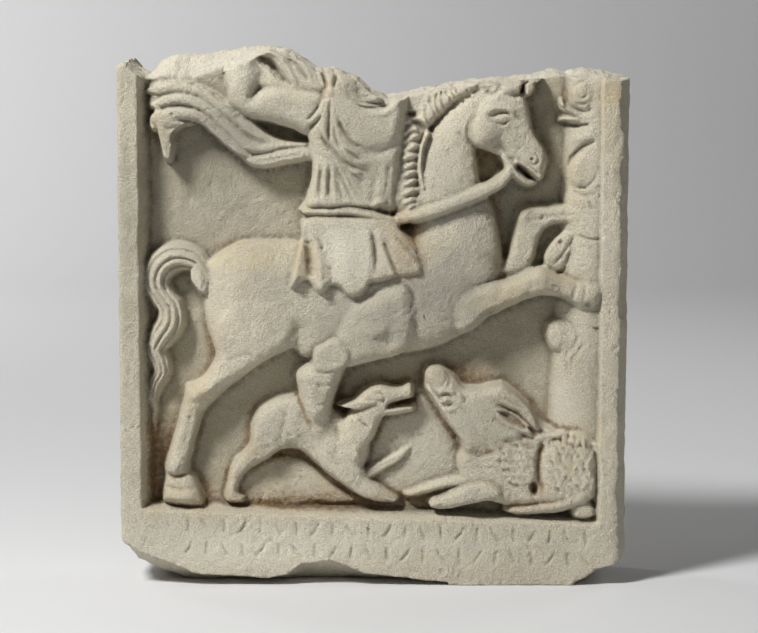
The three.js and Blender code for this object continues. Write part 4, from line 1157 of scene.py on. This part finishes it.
print("building the block")
mesh = buildBlock()
stele = bpy.data.objects.new("steleMarble", mesh)
bpy.context.scene.collection.objects.link(stele)
roughenSides(mesh)
print("thinning it")
thin = stele.modifiers.new("thin", "DECIMATE")
thin.ratio = block["triangles"] / triangleCount(mesh)
thin.use_collapse_triangulate = True
done = bpy.data.meshes.new_from_object(stele.evaluated_get(bpy.context.evaluated_depsgraph_get()))
stele.modifiers.clear()
stele.data = done
bpy.data.meshes.remove(mesh)
writePoints(done, np.clip(readPoints(done)[0], lowCorner, highCorner))
print("triangles:", triangleCount(done))


# What the surface shows: dirt and painted shade in hollows, iron stain, warm places, pale places that are
# partly painted light, and places of painted shade
# as [x, z, half width, half height, strength]
soil = {"hollow": 5.0,
    "stains": [(300, 378, 18, 8, 0.7), (308, 350, 12, 22, 0.5), (318, 335, 10, 12, 0.4),
    (205, 345, 8, 14, 0.5), (212, 328, 12, 6, 0.5), (145, 352, 26, 5, 0.5), (384, 440, 12, 14, 0.5),
    (398, 400, 6, 26, 0.5), (402, 340, 6, 30, 0.6), (445, 318, 20, 6, 0.4), (50, 125, 9, 40, 0.9),
    (100, 100, 8, 16, 0.7), (62, 150, 8, 30, 0.5), (135, 96, 16, 10, 0.8), (180, 92, 30, 9, 0.8),
    (225, 95, 36, 12, 0.8), (185, 140, 26, 10, 0.7), (150, 140, 10, 20, 0.6), (280, 97, 24, 10, 0.8),
    (320, 96, 22, 8, 0.6), (300, 195, 14, 8, 0.8), (345, 222, 40, 9, 0.6), (380, 150, 20, 12, 0.5),
    (440, 108, 10, 14, 0.9), (370, 225, 26, 8, 0.3), (425, 88, 30, 7, 0.6), (305, 362, 18, 22, 0.55),
    (245, 384, 45, 8, 0.35), (255, 470, 24, 20, 0.25), (440, 440, 14, 20, 0.35), (335, 480, 14, 18, 0.3),
    (110, 250, 10, 30, 0.4), (75, 330, 18, 14, 0.3), (290, 325, 20, 8, 0.35), (425, 515, 14, 8, 0.6),
    (170, 545, 26, 8, 0.5), (200, 505, 30, 14, 0.3), (385, 470, 18, 14, 0.25), (480, 230, 18, 30, 0.4),
    (60, 470, 10, 14, 0.4), (480, 505, 16, 10, 0.5), (408, 200, 20, 14, 0.5), (520, 440, 6, 60, 0.3)],
    "warm": [(75, 98, 26, 12, 0.8), (95, 205, 16, 20, 0.8), (512, 500, 14, 22, 1.0), (60, 472, 10, 12, 0.7),
    (130, 300, 40, 50, 0.35), (27, 300, 10, 200, 0.4), (300, 30, 200, 14, 0.4), (490, 170, 20, 20, 0.4),
    (230, 515, 16, 16, 0.5), (520, 300, 10, 200, 0.35), (400, 300, 34, 18, 0.6), (305, 355, 26, 26, 0.7),
    (150, 340, 50, 14, 0.6), (208, 345, 14, 16, 0.7), (510, 452, 8, 14, 0.9), (450, 318, 40, 10, 0.6),
    (470, 420, 20, 26, 0.5), (170, 110, 60, 20, 0.5), (475, 135, 30, 26, 0.5), (62, 205, 20, 60, 0.3)],
    # pale places: partly paler stone, partly painted light on ground that the relief shades
    "pale": [(230, 45, 230, 26, 0.9), (320, 150, 34, 40, 0.7), (465, 200, 20, 26, 0.5),
    (245, 350, 34, 28, 0.9), (95, 320, 40, 40, 0.4), (150, 535, 60, 14, 0.6), (190, 110, 70, 16, 0.6),
    (475, 130, 30, 30, 0.5), (520, 300, 12, 250, 0.5), (25, 200, 10, 200, 0.3), (320, 480, 40, 40, 0.3),
    (225, 520, 20, 20, 0.5)],
    # painted shade: grey on the flank, belly, neck, breast and left border, where the forms turn from the
    # light
    "paintedShade": [(25, 330, 12, 150, 0.7), (370, 330, 60, 30, 0.4), (330, 300, 90, 34, 0.8),
    (370, 400, 34, 50, 0.5), (265, 460, 40, 50, 0.5), (390, 175, 50, 36, 0.8), (130, 470, 60, 40, 0.5),
    (110, 410, 60, 60, 0.6), (400, 470, 30, 30, 0.4), (240, 280, 60, 30, 0.5), (25, 450, 10, 60, 0.4)]}


def spotsOf(name, x, z):
    total = np.zeros_like(x)
    for sx, sz, rx, rz, strength in soil[name]:
        total += strength * np.exp(-((x - sx) / rx) ** 2 - ((z - sz) / rz) ** 2)
    return total


def paintSurface(mesh):
    # one attribute for each thing that the surface shows
    points, normals = readPoints(mesh)
    x, up = points[:, 0] - lowCorner[0] + board["left"], points[:, 2]
    upper = (board["top"] - board["ledge"]) / (highCorner[2] - board["ledgeHeight"])
    overLedge = board["ledge"] + (up - board["ledgeHeight"]) * upper
    z = np.where(up < board["ledgeHeight"], up + board["foot"], overLedge)
    front = smoothstep(groundY + 4 - points[:, 1], 0, 6)
    worn = blur(height, 0.8)
    small, wide = (sample(blur(height, reach) - worn, x, z) for reach in (2.4, 6))
    # dirt and painted shade in the hollows
    hollow = np.clip(small / 1.4, 0, 1) * 0.7 + np.clip(wide / soil["hollow"], 0, 1) * 0.4
    # painted shade: the sunk ground is darker the lower it lies
    ground = np.clip(1 - sample(height, x, z) / 14, 0, 1)
    stain = 1.5 * spotsOf("stains", x, z) * (0.4 + 0.5 * ground + 0.8 * np.clip(wide / 5, 0, 1)) * front
    # thin seams of stain: in the hollows round the beasts, and wherever there is stain
    low = smoothstep(-z, -250, -205) * smoothstep(z, 84, 92) * (x < 486)
    seam = np.clip(small / 0.6 - 0.15, 0, 1) * low * np.clip(0.5 + boardGrain(x, z, 24, 31), 0, 1)
    seam = np.clip(seam + 0.6 * np.clip(small / 1.2, 0, 1) * stain, 0, 1)
    # the warm spots are the stone's own patches; the warm tint on raised places is wear and painted light
    warm = spotsOf("warm", x, z) + 0.25 * np.clip(-small / 1.2, 0, 1)
    broken = smoothstep(normals[:, 2], 0.45, 0.8) * smoothstep(up, 440, 480) * (1 - 0.5 * front)
    # the pale places are paler stone and painted light; the other spots are painted shade
    paleAndPaintedLight, paintedShade = (np.clip(spotsOf(name, x, z), 0, 1) for name in ("pale", "paintedShade"))
    shown = {"hollow": hollow * front, "stain": np.clip(stain, 0, 1), "seam": seam * front,
             "ground": ground * front, "paleAndPaintedLight": paleAndPaintedLight * front, "paintedShade": paintedShade * front,
             "warm": np.clip(warm * front, 0, 1), "broken": broken}
    for name, values in shown.items():
        mesh.attributes.new(name, "FLOAT", "POINT").data.foreach_set("value", values.astype(np.float32))


def shadeSmooth(mesh):
    mesh.polygons.foreach_set("use_smooth", np.ones(len(mesh.polygons), dtype=bool))


print("painting the surface")
paintSurface(done)
shadeSmooth(done)

# colours: the cool grey and the ground colour are painted shade, the dark brown is dirt and painted shade in
# the hollows, and fresh also paints light on the pale places
marble = {"pale": (0.80, 0.725, 0.55), "grey": (0.48, 0.44, 0.345), "warm": (0.70, 0.56, 0.31),
          "iron": (0.30, 0.155, 0.045), "dirtAndShade": (0.10, 0.08, 0.05), "fresh": (0.92, 0.87, 0.73),
          "ground": (0.35, 0.31, 0.215), "paintedShade": (0.30, 0.29, 0.245), "roughness": 0.85, "refraction": 1.48,
          "bump": 0.9, "bumpDepth": 0.0032}


def marbleMaterial():
    material = bpy.data.materials.new("weatheredMarble")
    material.use_nodes = True
    nodes, links = material.node_tree.nodes, material.node_tree.links
    nodes.clear()
    output = nodes.new("ShaderNodeOutputMaterial")
    shader = nodes.new("ShaderNodeBsdfPrincipled")
    shader.inputs["Roughness"].default_value = marble["roughness"]
    shader.inputs["IOR"].default_value = marble["refraction"]
    links.new(shader.outputs["BSDF"], output.inputs["Surface"])
    coordinates = nodes.new("ShaderNodeTexCoord")

    def noise(scale, detail, roughness, shift=0):
        place = nodes.new("ShaderNodeMapping")
        place.inputs["Location"].default_value = (shift, shift * 0.7, -shift)
        links.new(coordinates.outputs["Object"], place.inputs["Vector"])
        texture = nodes.new("ShaderNodeTexNoise")
        for name, value in (("Scale", scale), ("Detail", detail), ("Roughness", roughness)):
            texture.inputs[name].default_value = value
        links.new(place.outputs["Vector"], texture.inputs["Vector"])
        return texture.outputs["Fac"]

    def ramp(value, low, high):
        stretch = nodes.new("ShaderNodeMapRange")
        stretch.inputs["From Min"].default_value = low
        stretch.inputs["From Max"].default_value = high
        links.new(value, stretch.inputs["Value"])
        return stretch.outputs["Result"]

    def shown(name):
        node = nodes.new("ShaderNodeAttribute")
        node.attribute_name = name
        return node.outputs["Fac"]

    def maths(operation, a, b):
        node = nodes.new("ShaderNodeMath")
        node.operation = operation
        for socket, value in zip(node.inputs, (a, b)):
            if isinstance(value, (int, float)):
                socket.default_value = value
            else:
                links.new(value, socket)
        return node.outputs["Value"]

    def times(a, b):
        return maths("MULTIPLY", a, b)

    def tint(base, colour, factor):
        node = nodes.new("ShaderNodeMix")
        node.data_type = "RGBA"
        links.new(factor, node.inputs["Factor"])
        if isinstance(base, tuple):
            node.inputs["A"].default_value = (*base, 1)
        else:
            links.new(base, node.inputs["A"])
        node.inputs["B"].default_value = (*colour, 1)
        return node.outputs["Result"]

    clouds = ramp(noise(9, 5, 0.6), 0.35, 0.68)
    veins = ramp(noise(26, 6, 0.7, 3.0), 0.52, 0.72)
    speckle = ramp(noise(620, 3, 0.75, 1.3), 0.46, 0.62)
    crystals = ramp(noise(700, 2, 0.7, 4.1), 0.5, 0.64)
    patches = ramp(noise(48, 6, 0.7, 7.0), 0.34, 0.66)
    rust = ramp(noise(190, 5, 0.7, 2.2), 0.34, 0.6)
    hollowMottle = ramp(noise(170, 4, 0.6, 5.0), 0.1, 0.65)
    freckles = ramp(noise(330, 3, 0.7, 8.0), 0.66, 0.74)
    colour = marble["pale"]
    for name, factor in (
            ("grey", times(clouds, 0.75)), ("warm", times(veins, 0.35)),
            ("grey", times(speckle, 0.9)), ("fresh", times(crystals, 0.6)),
            # painted shade on the forms that turn from the light
            ("paintedShade", times(shown("paintedShade"), maths("ADD", 0.4, times(clouds, 0.5)))),
            # the pale places: paler stone and painted light
            ("fresh", times(shown("paleAndPaintedLight"), maths("SUBTRACT", 0.75, times(clouds, 0.3)))),
            # painted shade on the sunk ground, then the warm patches
            ("ground", times(shown("ground"), 0.55)), ("warm", times(shown("warm"), times(patches, 0.75))),
            ("iron", times(shown("stain"), times(rust, 0.85))),
            ("iron", times(shown("seam"), maths("ADD", 0.35, times(rust, 0.65)))),
            # dirt and painted shade in the hollows, then dark specks of dirt
            ("dirtAndShade", times(shown("hollow"), times(hollowMottle, 0.7))),
            ("fresh", times(shown("broken"), 0.3)), ("dirtAndShade", times(freckles, 0.35))):
        colour = tint(colour, marble[name], factor)
    links.new(colour, shader.inputs["Base Color"])
    bump = nodes.new("ShaderNodeBump")
    bump.inputs["Strength"].default_value = marble["bump"]
    bump.inputs["Distance"].default_value = marble["bumpDepth"]
    fine = maths("ADD", noise(560, 3, 0.6, 6.0), times(noise(1300, 2, 0.6, 9.0), 0.6))
    links.new(fine, bump.inputs["Height"])
    links.new(bump.outputs["Normal"], shader.inputs["Normal"])
    return material


done.materials.append(marbleMaterial())
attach(stele, "root")
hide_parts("stele")

# The floor is a sweep of paper, flat up to `flat`, then bent up into a wall; lengths in m
studio = {"distance": 2.4, "focal": 113, "sensor": 36, "elevation": 6, "aim": (0.006, -0.045, 0.276),
          "air": 0.06, "airColour": 0.8,
          "front": -5, "flat": 3.2, "bend": 1.6, "wallTop": 5, "halfWidth": 6, "paper": 0.66,
          "paperRoughness": 0.9}
# each lamp's place, aim, size and energy
lamps = {"keyLight": ((-1.35, -1.35, 2.2), (0, 0, 0.28), 0.6, 91),
         "fillLight": ((1.2, -2.6, 1), (0, 0, 0.3), 1.6, 2.5),
         "rearLight": ((1.7, 1.5, 1.9), (0, 0.1, 0.2), 1.2, 9),
         "backdropLight": ((-2.6, 2.2, 2.4), (-0.9, 4.6, 0.7), 1.5, 85)}


def evenGrey(value):
    return value, value, value, 1


def studioSweep():
    flat, bend = studio["flat"], studio["bend"]
    profile = [(studio["front"], 0), (flat, 0)]
    for a in np.linspace(0.1, math.pi / 2, 16):
        profile.append((flat + bend * math.sin(a), bend - bend * math.cos(a)))
    profile += [(flat + bend, studio["wallTop"])]
    bm = bmesh.new()
    verts = [bm.verts.new((-studio["halfWidth"], y, z)) for y, z in profile]
    edges = [bm.edges.new(pair) for pair in zip(verts, verts[1:])]
    made = bmesh.ops.extrude_edge_only(bm, edges=edges)["geom"]
    far = [v for v in made if isinstance(v, bmesh.types.BMVert)]
    bmesh.ops.translate(bm, verts=far, vec=(2 * studio["halfWidth"], 0, 0))
    bmesh.ops.recalc_face_normals(bm, faces=bm.faces)
    sweep = bpy.data.meshes.new("studioSweep")
    bm.to_mesh(sweep)
    bm.free()
    shadeSmooth(sweep)
    paper = bpy.data.materials.new("studioPaper")
    paper.use_nodes = True
    shader = paper.node_tree.nodes["Principled BSDF"]
    shader.inputs["Base Color"].default_value = evenGrey(studio["paper"])
    shader.inputs["Roughness"].default_value = studio["paperRoughness"]
    sweep.materials.append(paper)
    floor = bpy.data.objects.new("studioSweep", sweep)
    bpy.context.scene.collection.objects.link(floor)


def look(thing, place, aim):
    # puts a lamp or the camera at a place, turned towards an aim
    thing.location = place
    thing.rotation_euler = (Vector(aim) - Vector(place)).to_track_quat("-Z", "Y").to_euler()
    bpy.context.scene.collection.objects.link(thing)


def buildStudio():
    studioSweep()
    for name, (place, aim, size, energy) in lamps.items():
        data = bpy.data.lights.new(name, "AREA")
        data.shape = "DISK"
        data.size = size
        data.energy = energy
        look(bpy.data.objects.new(name, data), place, aim)
    world = bpy.data.worlds.new("studioAir")
    world.use_nodes = True
    air = world.node_tree.nodes["Background"]
    air.inputs["Color"].default_value = evenGrey(studio["airColour"])
    air.inputs["Strength"].default_value = studio["air"]
    bpy.context.scene.world = world
    bpy.context.scene.view_settings.view_transform = "Standard"
    data = bpy.data.cameras.new("camera")
    data.lens = studio["focal"]
    data.sensor_width = studio["sensor"]
    camera = bpy.data.objects.new("camera", data)
    rise, aim = math.radians(studio["elevation"]), Vector(studio["aim"])
    look(camera, aim + studio["distance"] * Vector((0, -math.cos(rise), math.sin(rise))), aim)
    bpy.context.scene.camera = camera


print("setting up floor, light and camera")
buildStudio()
